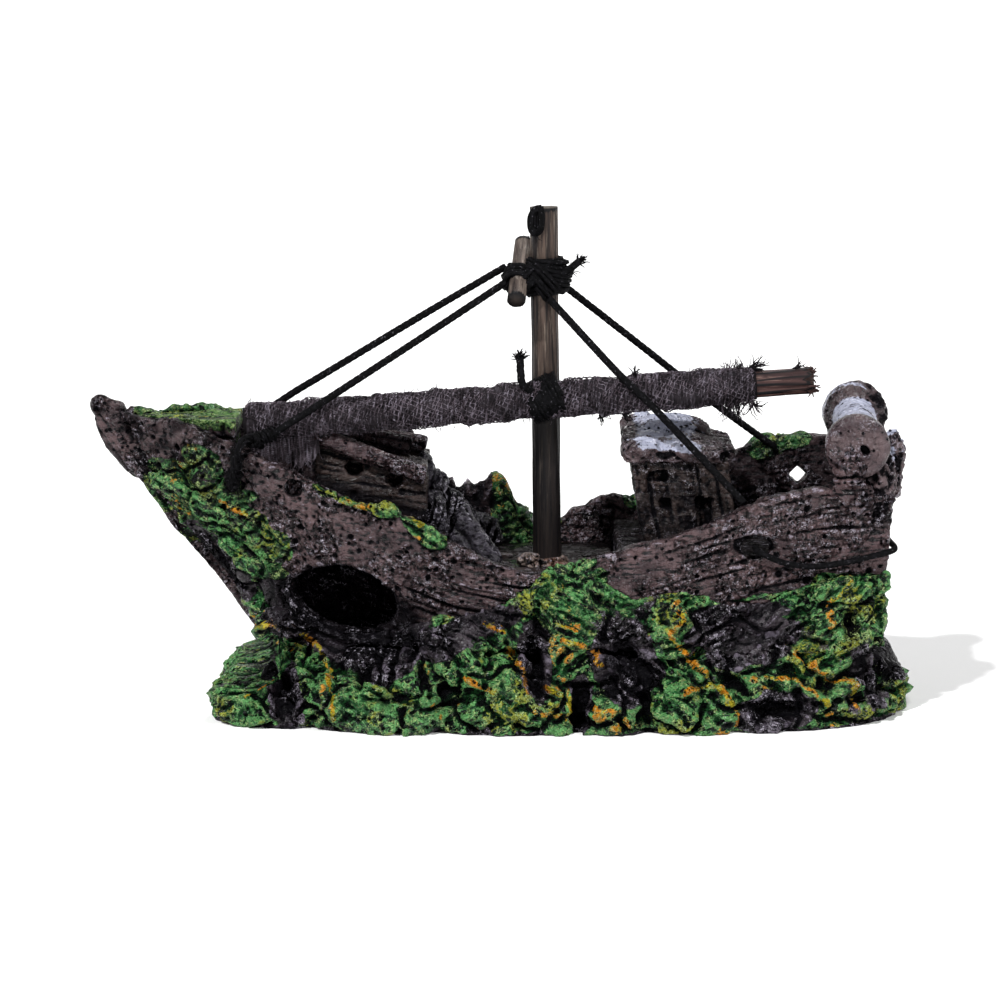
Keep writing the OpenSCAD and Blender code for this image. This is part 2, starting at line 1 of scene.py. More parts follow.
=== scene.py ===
import math
import bpy
import numpy as np
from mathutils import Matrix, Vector


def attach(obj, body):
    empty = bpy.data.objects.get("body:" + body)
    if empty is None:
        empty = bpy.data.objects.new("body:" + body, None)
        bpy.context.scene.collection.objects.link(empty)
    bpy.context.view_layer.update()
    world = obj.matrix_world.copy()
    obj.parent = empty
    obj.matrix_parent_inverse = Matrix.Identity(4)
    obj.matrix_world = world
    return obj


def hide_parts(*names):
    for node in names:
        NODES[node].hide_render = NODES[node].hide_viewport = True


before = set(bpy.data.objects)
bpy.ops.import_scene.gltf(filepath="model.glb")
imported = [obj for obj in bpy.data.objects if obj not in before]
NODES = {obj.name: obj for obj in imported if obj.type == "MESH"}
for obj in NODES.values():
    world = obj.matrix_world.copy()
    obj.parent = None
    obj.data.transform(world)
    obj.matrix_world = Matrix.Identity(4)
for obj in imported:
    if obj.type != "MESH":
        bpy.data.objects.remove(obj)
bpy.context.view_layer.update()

# Everything below is worked out in millimetres, and turned into metres as each mesh is made.
MM = 0.001

# ---------------------------------------------------------------- camera and lights
CAM_DISTANCE = 0.8
CAM_ELEVATION = 10.0
TARGET_Z = 0.0545
VIEW_WIDTH = 269.4 * MM      # what the picture shows across at the target


def make_camera():
    e = math.radians(CAM_ELEVATION)
    cam = bpy.data.objects.new("camera", bpy.data.cameras.new("camera"))
    cam.location = (0, -CAM_DISTANCE * math.cos(e), TARGET_Z + CAM_DISTANCE * math.sin(e))
    cam.rotation_euler = (math.radians(90) - e, 0, 0)
    cam.data.sensor_width = 36
    cam.data.lens = 36 * CAM_DISTANCE / VIEW_WIDTH
    bpy.context.scene.collection.objects.link(cam)
    bpy.context.scene.camera = cam


def lamp(name, come_from, strength, spread_degrees):
    """A broad far light: the same everywhere, with soft shadows."""
    data = bpy.data.lights.new(name, "SUN")
    data.energy = strength
    data.angle = math.radians(spread_degrees)
    ob = bpy.data.objects.new(name, data)
    ob.rotation_euler = (-Vector(come_from)).to_track_quat("-Z", "Y").to_euler()
    bpy.context.scene.collection.objects.link(ob)


# ---------------------------------------------------------------- numbers
def smooth(lo, hi, x):
    t = np.clip((x - lo) / (hi - lo), 0, 1)
    return t * t * (3 - 2 * t)


def hashed(ix, iy, iz, seed):
    """A different whole number for each lattice point."""
    h = (ix.astype(np.int64) * 374761393 + iy.astype(np.int64) * 668265263
         + iz.astype(np.int64) * 1103515245 + seed * 12345701).astype(np.uint32)
    h ^= h >> np.uint32(13)
    h *= np.uint32(1274126177)
    h ^= h >> np.uint32(16)
    h *= np.uint32(2246822519)
    return h ^ (h >> np.uint32(15))


def noise(p, size, seed=0):
    """Smooth noise from about -1 to 1, with features of the given size; size may have one value per axis."""
    q = p / size
    cell = np.floor(q).astype(np.int64)
    f = q - cell
    u = f * f * f * (f * (f * 6 - 15) + 10)
    total = np.zeros(len(p))
    for dx in (0, 1):
        wx = u[:, 0] if dx else 1 - u[:, 0]
        for dy in (0, 1):
            wy = u[:, 1] if dy else 1 - u[:, 1]
            for dz in (0, 1):
                wz = u[:, 2] if dz else 1 - u[:, 2]
                h = hashed(cell[:, 0] + dx, cell[:, 1] + dy, cell[:, 2] + dz, seed)
                g = (((h & 255) / 127.5 - 1) * (f[:, 0] - dx)
                     + (((h >> np.uint32(8)) & 255) / 127.5 - 1) * (f[:, 1] - dy)
                     + (((h >> np.uint32(16)) & 255) / 127.5 - 1) * (f[:, 2] - dz))
                total += wx * wy * wz * g
    return total * 1.5


def fbm(p, size, octaves=3, seed=0):
    size = np.asarray(size, float)
    return sum(noise(p, size / 2 ** k, seed + 17 * k) / 2 ** k for k in range(octaves)) / 1.5


def ridged(p, size, octaves=3, seed=0):
    """Sharp crests: 1 on a crest, falling to about 0 between them."""
    size = np.asarray(size, float)
    total, weight = 0, 0
    for k in range(octaves):
        total = total + (1 - np.abs(noise(p, size / 2 ** k, seed + 31 * k))) ** 3 / 2 ** k
        weight += 1 / 2 ** k
    return total / weight


def cells(p, size, seed=0):
    """Distances to the nearest and the next feature point, in cell sizes, and a number for the nearest."""
    q = p / size
    base = np.floor(q).astype(np.int64)
    f1 = np.full(len(p), 9.0)
    f2 = np.full(len(p), 9.0)
    name = np.zeros(len(p))
    for dx in (-1, 0, 1):
        for dy in (-1, 0, 1):
            for dz in (-1, 0, 1):
                cx, cy, cz = base[:, 0] + dx, base[:, 1] + dy, base[:, 2] + dz
                h = hashed(cx, cy, cz, seed)
                px = cx + (h & 1023) / 1023 - q[:, 0]
                py = cy + ((h >> np.uint32(10)) & 1023) / 1023 - q[:, 1]
                pz = cz + ((h >> np.uint32(20)) & 1023) / 1023 - q[:, 2]
                d = np.sqrt(px * px + py * py + pz * pz)
                near = d < f1
                f2 = np.where(near, f1, np.minimum(f2, d))
                name = np.where(near, (h & 4095) / 4095, name)
                f1 = np.where(near, d, f1)
    return f1, f2, name


def warped(p, amount, size, seed=0):
    return p + amount * np.stack([noise(p, size, seed + k) for k in range(3)], 1)


def patch(x, z, places):
    """1 well inside the patches and 0 outside them; each is (x, z, half width, half height, tilt in degrees)."""
    best = np.zeros(len(x))
    for cx, cz, rx, rz, tilt in places:
        a = math.radians(tilt)
        dx, dz = x - cx, z - cz
        u = (dx * math.cos(a) + dz * math.sin(a)) / rx
        w = (dz * math.cos(a) - dx * math.sin(a)) / rz
        best = np.maximum(best, 1.6 - np.sqrt(u * u + w * w))
    return best


# ---------------------------------------------------------------- meshes
def node_arrays(name):
    me = NODES[name].data
    v = np.zeros(len(me.vertices) * 3, np.float32)
    me.vertices.foreach_get("co", v)
    me.calc_loop_triangles()
    f = np.zeros(len(me.loop_triangles) * 3, np.int32)
    me.loop_triangles.foreach_get("vertices", f)
    return v.reshape(-1, 3).astype(float) / MM, f.reshape(-1, 3)


def join(*parts):
    vs, fs, start = [], [], 0
    for v, f in parts:
        vs.append(v)
        fs.append(f + start)
        start += len(v)
    return np.concatenate(vs), np.concatenate(fs)


def ellipsoid(centre, radii, tilt=0, turn=0, n=14):
    """A closed ellipsoid; tilt turns it in the XZ plane and turn in the XY plane, in degrees."""
    th = np.linspace(0, np.pi, n + 1)[1:-1]
    ph = np.linspace(0, 2 * np.pi, 2 * n, endpoint=False)
    ring = np.stack([np.outer(np.sin(th), np.cos(ph)), np.outer(np.sin(th), np.sin(ph)),
                     np.outer(np.cos(th), np.ones(2 * n))], -1).reshape(-1, 3)
    v = np.concatenate([ring, [[0, 0, 1], [0, 0, -1]]]) * radii
    a, b = math.radians(tilt), math.radians(turn)
    v = np.stack([v[:, 0] * math.cos(a) - v[:, 2] * math.sin(a), v[:, 1],
                  v[:, 0] * math.sin(a) + v[:, 2] * math.cos(a)], 1)
    v = np.stack([v[:, 0] * math.cos(b) - v[:, 1] * math.sin(b),
                  v[:, 0] * math.sin(b) + v[:, 1] * math.cos(b), v[:, 2]], 1)
    m, faces = 2 * n, []
    for i in range(n - 2):
        for j in range(m):
            a0, b0 = i * m + j, i * m + (j + 1) % m
            faces += [[a0, a0 + m, b0], [b0, a0 + m, b0 + m]]
    top, low = len(ring), len(ring) + 1
    for j in range(m):
        faces += [[top, j, (j + 1) % m], [low, (n - 2) * m + (j + 1) % m, (n - 2) * m + j]]
    return v + np.asarray(centre, float), np.array(faces)


def tube(path, radius, sides, relief=None):
    """A closed tube along a path in mm. radius is one number or one for each point; relief(s, a) adds to it."""
    path = np.asarray(path, float)
    way = np.gradient(path, axis=0)
    way /= np.linalg.norm(way, axis=1)[:, None] + 1e-12
    side = np.zeros_like(path)
    ref = np.array([0, 0, 1.0]) if abs(way[0, 2]) < 0.9 else np.array([1.0, 0, 0])
    s0 = np.cross(way[0], ref)
    for i in range(len(path)):
        s0 = s0 - way[i] * (s0 @ way[i])
        s0 /= np.linalg.norm(s0)
        side[i] = s0
    up = np.cross(side, way)
    ang = np.linspace(0, 2 * np.pi, sides, endpoint=False)
    step = np.concatenate([[0], np.cumsum(np.linalg.norm(np.diff(path, axis=0), axis=1))])
    r = np.broadcast_to(np.asarray(radius, float), (len(path),))[:, None] * np.ones(sides)
    if relief is not None:
        r = r + relief(step[:, None] + 0 * ang, ang[None, :] + 0 * step[:, None])
    v = (path[:, None] + r[..., None] * (np.cos(ang)[None, :, None] * side[:, None]
                                         + np.sin(ang)[None, :, None] * up[:, None]))
    n, m = len(path), sides
    i, j = np.meshgrid(np.arange(n - 1), np.arange(m), indexing="ij")
    a, b = (i * m + j).ravel(), (i * m + (j + 1) % m).ravel()
    f = np.concatenate([np.stack([a, b, b + m], 1), np.stack([a, b + m, a + m], 1)])
    v = v.reshape(-1, 3)
    # a fan of faces closes each end
    k = np.arange(m)
    f = np.concatenate([f, np.stack([np.full(m, n * m), (k + 1) % m, k], 1),
                        np.stack([np.full(m, n * m + 1), (n - 1) * m + k, (n - 1) * m + (k + 1) % m], 1)])
    return np.concatenate([v, path[:1], path[-1:]]), f


def spline(points, step=0.5):
    """A smooth line through the points, with even steps."""
    p = np.asarray(points, float)
    q = np.concatenate([[2 * p[0] - p[1]], p, [2 * p[-1] - p[-2]]])
    out = []
    for i in range(1, len(q) - 2):
        t = np.linspace(0, 1, 24, endpoint=False)[:, None]
        out.append(0.5 * (2 * q[i] + (q[i + 1] - q[i - 1]) * t
                          + (2 * q[i - 1] - 5 * q[i] + 4 * q[i + 1] - q[i + 2]) * t ** 2
                          + (3 * q[i] - q[i - 1] - 3 * q[i + 1] + q[i + 2]) * t ** 3))
    line = np.concatenate(out + [p[-1:]])
    s = np.concatenate([[0], np.cumsum(np.linalg.norm(np.diff(line, axis=0), axis=1))])
    at = np.linspace(0, s[-1], max(3, int(s[-1] / step) + 1))
    return np.stack([np.interp(at, s, line[:, k]) for k in range(3)], 1)


def vertex_normals(v, f):
    fn = np.cross(v[f[:, 2]] - v[f[:, 0]], v[f[:, -1]] - v[f[:, 1]]) if f.shape[1] == 4 \
        else np.cross(v[f[:, 1]] - v[f[:, 0]], v[f[:, 2]] - v[f[:, 0]])
    n = np.zeros_like(v)
    for k in range(f.shape[1]):
        for c in range(3):
            n[:, c] += np.bincount(f[:, k], fn[:, c], len(v))
    return n / (np.linalg.norm(n, axis=1)[:, None] + 1e-12)


def edge_pairs(f):
    k = f.shape[1]
    e = np.concatenate([f[:, [i, (i + 1) % k]] for i in range(k)])
    key = np.unique(np.minimum(e[:, 0], e[:, 1]).astype(np.int64) * (f.max() + 1) + np.maximum(e[:, 0], e[:, 1]))
    return key // (f.max() + 1), key % (f.max() + 1)


def relax(v, pairs, rounds):
    """Draws each point towards the middle of its neighbours, again and again."""
    rate = 0.6
    a, b = pairs
    count = np.bincount(a, minlength=len(v)) + np.bincount(b, minlength=len(v))
    v = v.copy()
    for _ in range(rounds):
        mean = np.stack([np.bincount(a, v[b, c], len(v)) + np.bincount(b, v[a, c], len(v)) for c in range(3)], 1)
        v += rate * (mean / np.maximum(count, 1)[:, None] - v)
    return v


def surface_area(v, f):
    return 0.5 * np.linalg.norm(np.cross(v[f[:, 1]] - v[f[:, 0]], v[f[:, 2]] - v[f[:, 0]]), axis=1).sum()


def make_mesh(name, v, f, masks=None, shade_smooth=True):
    me = bpy.data.meshes.new(name)
    k = f.shape[1]
    me.vertices.add(len(v))
    me.vertices.foreach_set("co", (v * MM).astype(np.float32).ravel())
    me.loops.add(f.size)
    me.loops.foreach_set("vertex_index", f.astype(np.int32).ravel())
    me.polygons.add(len(f))
    me.polygons.foreach_set("loop_start", np.arange(0, f.size, k, dtype=np.int32))
    me.update(calc_edges=True)
    me.validate()
    if shade_smooth:
        me.polygons.foreach_set("use_smooth", np.ones(len(me.polygons), bool))
    for key, value in (masks or {}).items():
        layer = me.attributes.new(key, "FLOAT", "POINT")
        layer.data.foreach_set("value", np.ascontiguousarray(value, np.float32))
    return me


def voxels(v, f, size):
    """The outer skin of closed, overlapping shapes, as one even quad mesh."""
    me = make_mesh("blank", v, f)
    ob = bpy.data.objects.new("blank", me)
    bpy.context.scene.collection.objects.link(ob)
    mod = ob.modifiers.new("skin", "REMESH")
    mod.mode = "VOXEL"
    mod.voxel_size = size * MM
    grown = bpy.data.meshes.new_from_object(ob.evaluated_get(bpy.context.evaluated_depsgraph_get()))
    out = np.zeros(len(grown.vertices) * 3, np.float32)
    grown.vertices.foreach_get("co", out)
    loops = np.zeros(len(grown.loops), np.int32)
    grown.loops.foreach_get("vertex_index", loops)
    bpy.data.objects.remove(ob)
    bpy.data.meshes.remove(me)
    bpy.data.meshes.remove(grown)
    return out.reshape(-1, 3).astype(float) / MM, loops.reshape(-1, 4)


def put(name, v, f, masks, material, replaced=()):
    """A visible piece; its slot holds the material."""
    ob = bpy.data.objects.new(name, make_mesh(name, v, f, masks))
    bpy.context.scene.collection.objects.link(ob)
    ob.data.materials.append(material)
    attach(ob, "root")
    if replaced:
        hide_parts(*replaced)
    return ob


def relief_masks(v, f, pairs):
    """How far each point stands out of its surroundings, in mm, near and wide."""
    n = vertex_normals(v, f)
    near = ((v - relax(v, pairs, 5)) * n).sum(1)
    wide = ((v - relax(v, pairs, 28)) * n).sum(1)
    return {"near": near, "wide": wide}


SOFTEN_ROUNDS = 2
UNDERSIDE, CLEARANCE = 0.35, 0.05       # what lies below the first stays flat, and the rest stays above the second


def sculpt(name, node, shape, material, extras=(), quads=60000, finest=0.5, reform=None):
    """A weathered casting: the node and its added lumps skinned finely, then shaped by shape(points, normals)."""
    v, f = node_arrays(node)
    v, f = join((reform(v), f) if reform else (v, f), *extras)
    size = max(finest, math.sqrt(1.15 * surface_area(v, f) / quads))
    v, f = voxels(v, f, size)
    pairs = edge_pairs(f)
    v = relax(v, pairs, SOFTEN_ROUNDS)
    n = vertex_normals(v, f)
    lift, masks = shape(v, n)
    masks = dict(masks)
    moved = v + n * lift[:, None] + masks.pop("shift", 0)
    moved[:, 2] = np.where(v[:, 2] < UNDERSIDE, np.maximum(v[:, 2], 0), np.maximum(moved[:, 2], CLEARANCE))
    masks.update(relief_masks(moved, f, pairs))
    return put(name, moved, f, masks, material, [node])


# ---------------------------------------------------------------- materials
DIM = 0.72       # the studio is bright, so every paint is this much darker than it is to look


def srgb(r, g, b):
    """A paint colour given as the 0-255 display values it is to have when lit."""
    def one(c):
        c /= 255
        return DIM * (c / 12.92 if c <= 0.04045 else ((c + 0.055) / 1.055) ** 2.4)
    return (one(r), one(g), one(b), 1)


class Paint:
    """Builds one node material; every node call returns its output socket."""

    def __init__(self, name, **sockets):
        self.mat = bpy.data.materials.new(name)
        self.mat.use_nodes = True
        self.tree = self.mat.node_tree
        self.tree.nodes.clear()
        self.bsdf = self.tree.nodes.new("ShaderNodeBsdfPrincipled")
        out = self.tree.nodes.new("ShaderNodeOutputMaterial")
        self.tree.links.new(self.bsdf.outputs["BSDF"], out.inputs["Surface"])
        self.place = self.tree.nodes.new("ShaderNodeTexCoord").outputs["Object"]
        for key, value in sockets.items():
            self.set(key.replace("_", " "), value)

    def feed(self, socket, value):
        if isinstance(value, bpy.types.NodeSocket):
            self.tree.links.new(value, socket)
        else:
            socket.default_value = value

    def set(self, key, value):
        self.feed(self.bsdf.inputs[key], value)

    def node(self, kind, out=0, ins=(), **props):
        n = self.tree.nodes.new(kind)
        for key, value in props.items():
            setattr(n, key, value)
        for key, value in dict(ins).items():
            self.feed(n.inputs[key], value)
        return n.outputs[out]

    def mask(self, name):
        return self.node("ShaderNodeAttribute", "Fac", attribute_name=name)

    def stretched(self, sx, sy, sz):
        return self.node("ShaderNodeMapping", 0, {"Vector": self.place, "Scale": (sx, sy, sz)})

    def turned(self, degrees, along, across):
        """The place turned about Y and drawn out along the direction that falls at that angle towards the stern."""
        return self.node("ShaderNodeMapping", 0, {
            "Vector": self.place, "Rotation": (0, math.radians(degrees), 0), "Scale": (along, across, across)},
            vector_type="TEXTURE")

    def noise(self, size_mm, detail=3, rough=0.6, place=None, distortion=0.0):
        return self.node("ShaderNodeTexNoise", "Fac", {
            "Vector": place or self.place, "Scale": 1000 / size_mm, "Detail": detail,
            "Roughness": rough, "Distortion": distortion})

    def ridge(self, size_mm, detail, rough, place, distortion):
        """Near 1 along thin winding crests, lower between them."""
        wave = self.noise(size_mm, detail, rough, place, distortion)
        away = self.calc("ABSOLUTE", self.calc("SUBTRACT", wave, 0.5))
        return self.calc("SUBTRACT", 1.0, self.times(away, 4.5), True)

    def cells(self, size_mm):
        """Distance to the nearest of scattered points."""
        return self.node("ShaderNodeTexVoronoi", "Distance", {"Vector": self.place, "Scale": 1000 / size_mm})

    def range(self, x, lo, hi, to_lo=0.0, to_hi=1.0):
        return self.node("ShaderNodeMapRange", 0, {
            "Value": x, "From Min": lo, "From Max": hi, "To Min": to_lo, "To Max": to_hi},
            interpolation_type="SMOOTHSTEP")

    def calc(self, op, a, b=0.0, clamp=False):
        return self.node("ShaderNodeMath", 0, {0: a, 1: b}, operation=op, use_clamp=clamp)

    def times(self, *xs):
        total = xs[0]
        for x in xs[1:]:
            total = self.calc("MULTIPLY", total, x)
        return total

    def plus(self, *xs):
        total = xs[0]
        for x in xs[1:]:
            total = self.calc("ADD", total, x)
        return total

    def mix(self, amount, a, b):
        n = self.tree.nodes.new("ShaderNodeMix")
        n.data_type = "RGBA"
        self.feed(n.inputs[0], amount)
        self.feed(n.inputs[6], a)
        self.feed(n.inputs[7], b)
        return n.outputs[2]

    def bump(self, height, mm, strength=1.0):
        """Bump of the given height in mm, laid over any bump made before it."""
        before = self.bsdf.inputs["Normal"]
        ins = {"Height": height, "Distance": mm * MM, "Strength": strength}
        if before.is_linked:
            ins["Normal"] = before.links[0].from_socket
        self.set("Normal", self.node("ShaderNodeBump", 0, ins))


BLACK = srgb(15, 14, 17)


def painted_resin(name, wood=((98, 77, 79), (62, 48, 51), (160, 150, 164)), grain=(9, 60, 60), pits=1.0,
                  green=((14, 38, 24), (36, 94, 46), (108, 174, 102)), frost=0.0, grained=1.0,
                  rough=1.0):
    """Resin cast and painted by hand: brown wood, moss, a black wash in the hollows and dry-brushed edges."""
    p = Paint(name, Specular_IOR_Level=0.22)
    near, wide = p.mask("near"), p.mask("wide")
    blotch = p.noise(7, 4, 0.65)
    fine = p.noise(1.5, 5, 0.8)
    lines = p.noise(1.0, 4, 0.65, p.stretched(*(g / 60 for g in grain)))
    strokes = [p.ridge(2.4, 4, 0.62, p.turned(a, 2.6, 0.9), 0.4) for a in (32, -24)]
    which = p.range(p.noise(16, 2, 0.5), 0.46, 0.54)
    strings = p.plus(p.times(strokes[0], which), p.times(strokes[1], p.calc("SUBTRACT", 1.0, which)))
    moss = p.range(p.plus(p.mask("moss"), p.times(p.calc("SUBTRACT", p.noise(2.6, 5, 0.7), 0.5), 0.9)), 0.44, 0.56)
    # how far the paint stands proud here: the cast relief, then what is too fine to cast
    rough_here = p.range(p.noise(12, 3, 0.6), 0.44, 0.58, 0.15 * rough, 1.4 * rough)
    speck = p.times(p.calc("SUBTRACT", fine, 0.5), 2.6, rough_here)
    wooden = p.plus(p.times(near, 1.3), speck, p.times(p.calc("SUBTRACT", lines, 0.5), 2.1 * grained))
    leafy = p.plus(p.times(near, 1.3), p.times(speck, 0.8), p.times(p.calc("SUBTRACT", strings, 0.62), 1.3))
    brown = p.mix(p.range(blotch, 0.35, 0.65), srgb(*wood[1]), srgb(*wood[0]))
    brown = p.mix(p.times(p.range(wooden, 0.36, 0.54), 0.8), brown, srgb(*wood[2]))
    brown = p.mix(p.times(p.range(wooden, -0.04, -0.2), 0.97), brown, BLACK)
    # moss: black in the folds, bright on the crests, with yellow and orange touched on
    leaf = p.mix(p.range(p.noise(9, 4, 0.6), 0.4, 0.6), srgb(*green[0]), srgb(*green[1]))
    leaf = p.mix(p.times(p.range(leafy, 0.24, 0.56), 0.9), leaf, srgb(*green[2]))
    yellow = p.range(p.noise(12, 3, 0.6), 0.56, 0.62)
    leaf = p.mix(p.times(yellow, p.range(leafy, 0.26, 0.46), 0.75), leaf, srgb(178, 172, 44))
    orange = p.range(p.noise(9, 3, 0.6, p.stretched(1, 1.3, 0.8)), 0.61, 0.65)
    leaf = p.mix(p.times(orange, p.range(leafy, 0.4, 0.52), 0.95), leaf, srgb(226, 150, 40))
    leaf = p.mix(p.times(p.range(leafy, 0.06, -0.26), 0.92), leaf, BLACK)
    colour = p.mix(moss, brown, leaf)
    gold = p.plus(p.mask("gold"), p.times(p.calc("SUBTRACT", p.noise(3.4, 5, 0.75), 0.5), 1.2),
                  p.range(leafy, -0.1, 0.4, -0.25, 0.06))
    colour = p.mix(p.range(gold, 0.82, 0.88), colour,
                   p.mix(p.range(p.noise(5, 2, 0.5), 0.42, 0.55), srgb(186, 172, 38), srgb(226, 146, 30)))
    # black wash in every hollow
    hollow = p.plus(p.range(near, 0.02, -0.2), p.times(p.range(wide, 0.05, -0.9), 0.9))
    washed = p.times(p.calc("MINIMUM", hollow, 0.95), p.calc("SUBTRACT", 1.0, p.times(moss, 0.4)))
    colour = p.mix(washed, colour, BLACK)
    # dark: black paint, and painted shade where the shapes put it: undersides, enclosed insides, holes and shaded
    # wall feet
    colour = p.mix(p.calc("MINIMUM", p.mask("dark"), 0.97), colour, BLACK)
    if frost:
        white = p.plus(p.mask("frost"), p.times(p.calc("SUBTRACT", fine, 0.5), 2.0),
                       p.times(p.calc("SUBTRACT", p.noise(5, 4, 0.7), 0.5), 1.4))
        colour = p.mix(p.times(p.range(white, 0.4, 0.66), frost), colour, srgb(186, 190, 212))
    holes = p.cells(2.0)
    pit = p.times(p.range(holes, 0.3, 0.18), p.range(p.noise(6, 2, 0.5), 0.42, 0.5), pits)
    colour = p.mix(pit, colour, BLACK)
    # painted highlights: small light flecks on the crests, where the wet paint would catch the light
    thin = p.ridge(1.5, 3, 0.7, p.place, 0.5)
    edge = p.plus(thin, p.times(moss, 0.05))
    fleck = p.times(p.range(edge, 0.87, 0.95), p.range(p.noise(2.2, 3, 0.7), 0.48, 0.56), p.range(near, -0.08, 0.1),
                    p.calc("MAXIMUM", rough_here, moss), 0.85)
    colour = p.mix(fleck, colour, p.mix(moss, srgb(204, 198, 212), srgb(184, 208, 136)))
    p.set("Base Color", colour)
    p.set("Roughness", p.range(blotch, 0.35, 0.65, 0.16, 0.34))
    wash = p.calc("MAXIMUM", p.calc("MAXIMUM", p.mask("dark"), hollow), pit)
    p.set("Specular IOR Level", p.range(wash, 0.3, 0.9, 0.26, 0.02))
    p.bump(lines, 0.9 * grained, 1.0)
    uneven = p.plus(p.times(p.calc("MAXIMUM", rough_here, moss), 0.8), 0.2)
    p.bump(p.times(p.noise(2.6, 1, 0.5), uneven), 3.8 * rough, 1.0)
    p.bump(p.times(p.noise(1.2, 1, 0.5), uneven), 1.9 * rough, 1.0)
    p.bump(p.times(strings, p.plus(moss, 0.3)), 1.0, 1.0)
    p.bump(pit, -0.7, 1.0)
    return p.mat


# ---------------------------------------------------------------- lines of the hull
STEM = ((20, -66), (33, -75), (48, -88), (65, -99.5), (83, -108))
STERN = ((20, 101), (60, 102), (70, 104), (83, 104))
HALF_BEAM = ((0, 0), (0.05, 8), (0.1, 13.5), (0.2, 24), (0.3, 31.5), (0.4, 36.8), (0.5, 39.8),
             (0.6, 39.3), (0.7, 37.2), (0.8, 34), (0.9, 30), (1, 26.5))
PORT_SHEER = ((-108, 83), (-93, 80), (-80, 76.5), (-68, 72), (-56, 67.5), (-44, 61), (-38, 58), (-26, 58),
              (-17, 51), (-3, 45), (5, 39.8), (16, 43), (28, 47), (43, 50.5), (55, 54), (67, 60), (80, 62.5),
              (104, 60.5))
STARBOARD_SHEER = ((-108, 83), (-93, 80), (-80, 78.5), (-68, 76), (-56, 70), (-44, 65), (-30, 61), (-18, 57),
                   (-9, 51), (0, 56.5), (4, 53), (10, 43.5), (20, 43.5), (28, 47), (36, 49.5), (48, 50),
                   (60, 58), (67, 65), (80, 68.5), (93, 69), (104, 66))
FOOT_Z, TOP_Z, FOOT_FLARE = 20, 83, 0.76
MOUTH = (-41, 32, 14.5, 9.75, -12)      # x, z, half width, half height, tilt


def table(x, pairs):
    a = np.array(pairs, float)
    return np.interp(x, a[:, 0], a[:, 1])


def hull_half(x, z):
    u = (x - table(z, STEM)) / (table(z, STERN) - table(z, STEM))
    flare = FOOT_FLARE + (1 - FOOT_FLARE) * np.sqrt(np.clip((z - FOOT_Z) / (TOP_Z - FOOT_Z), 0, 1))
    return np.maximum(3.4, table(u, HALF_BEAM) * flare)


def mouth_ring(x, z):
    cx, cz, rx, rz, tilt = MOUTH
    a = math.radians(tilt)
    dx, dz = x - cx, z - cz
    return np.hypot((dx * math.cos(a) + dz * math.sin(a)) / rx, (dz * math.cos(a) - dx * math.sin(a)) / rz)


# ---------------------------------------------------------------- where the near side is mossy, bare, cut or gilded
# (x, z, half width, half height, tilt)
NEAR_GREEN = (
    (-82, 59, 13, 5.5, -36), (-79, 67.5, 6, 3.4, -35), (-69, 49, 13, 8, -35), (-60, 43, 6, 8, 0),
    (-70, 60, 7, 2, -20), (-44, 62, 5, 2.4, -28), (-37, 59.6, 6, 2.8, -12),
    (-29, 58.4, 6, 2.8, -6), (-22, 54.6, 5.4, 3.6, -38), (-17.4, 50.4, 4, 3, -40),
    (17, 38, 11, 5, 15), (16, 43.5, 9, 2, 12), (88, 35.5, 10, 4, 8), (92, 29, 5, 8, 0), (99, 26, 3, 12, 0),
    (68, 34, 9, 1, 8), (45, 31, 5, 5, 0))
NEAR_BARE = (
    (-30, 19, 9, 5, 0), (32, 18, 8, 10, 10), (-57, 9, 5, 9, 15), (66, 23, 12, 6, 10), (72, 5.5, 10, 5, 0),
    (-17.8, 22, 10.7, 3.3, 22), (-6, 28.5, 11, 3, 12), (92, 26, 3, 4.5, 0), (56, 24, 9, 4, -20), (9, 19, 4, 10, 5),
    (-41, 23, 14, 3, -8), (21, 7, 2.5, 8, 0), (97, 13, 3, 9, 25), (-75, 40, 12, 4, -52), (60, 30, 14, 3, 5))
# the same, and a depth
NEAR_CUTS = (
    (-57, 7, 4.5, 9, 15, 5), (-29.6, 9.7, 1.4, 1.4, 0, 3.2), (-48, 3.5, 2, 2.2, 0, 2), (-32, 19, 1.4, 6, 10, 2.4),
    (-27, 17.5, 1.3, 6.5, -6, 2.4), (-22.5, 20, 1.2, 5, 0, 2), (8.5, 18, 2.8, 10, 4, 4), (10, 28, 3.5, 5, 0, 2.4),
    (20.8, 6, 2.2, 8, -3, 5), (4.6, 2, 1.4, 3.2, 25, 3), (32, 20, 5.5, 10, 15, 3), (27, 12, 5, 4, 0, 2.5),
    (37, 8, 2, 7, -12, 2.5), (71.5, 6, 8.5, 4.5, 0, 4.5), (91.5, 27, 3, 4.8, 10, 3.4), (101, 14, 2.8, 9, 22, 3.5),
    (61, 14, 2, 8, 30, 2), (-14, 8, 5, 1.2, 20, 2), (-77, 41, 13, 3.2, -52, 2.0), (57, 36.5, 6, 1, 6, 1.6),
    (73, 36, 9, 1.1, 8, 1.6), (-19, 13, 1.2, 5, 30, 2), (-37, 14, 2, 2.4, 20, 2.2))
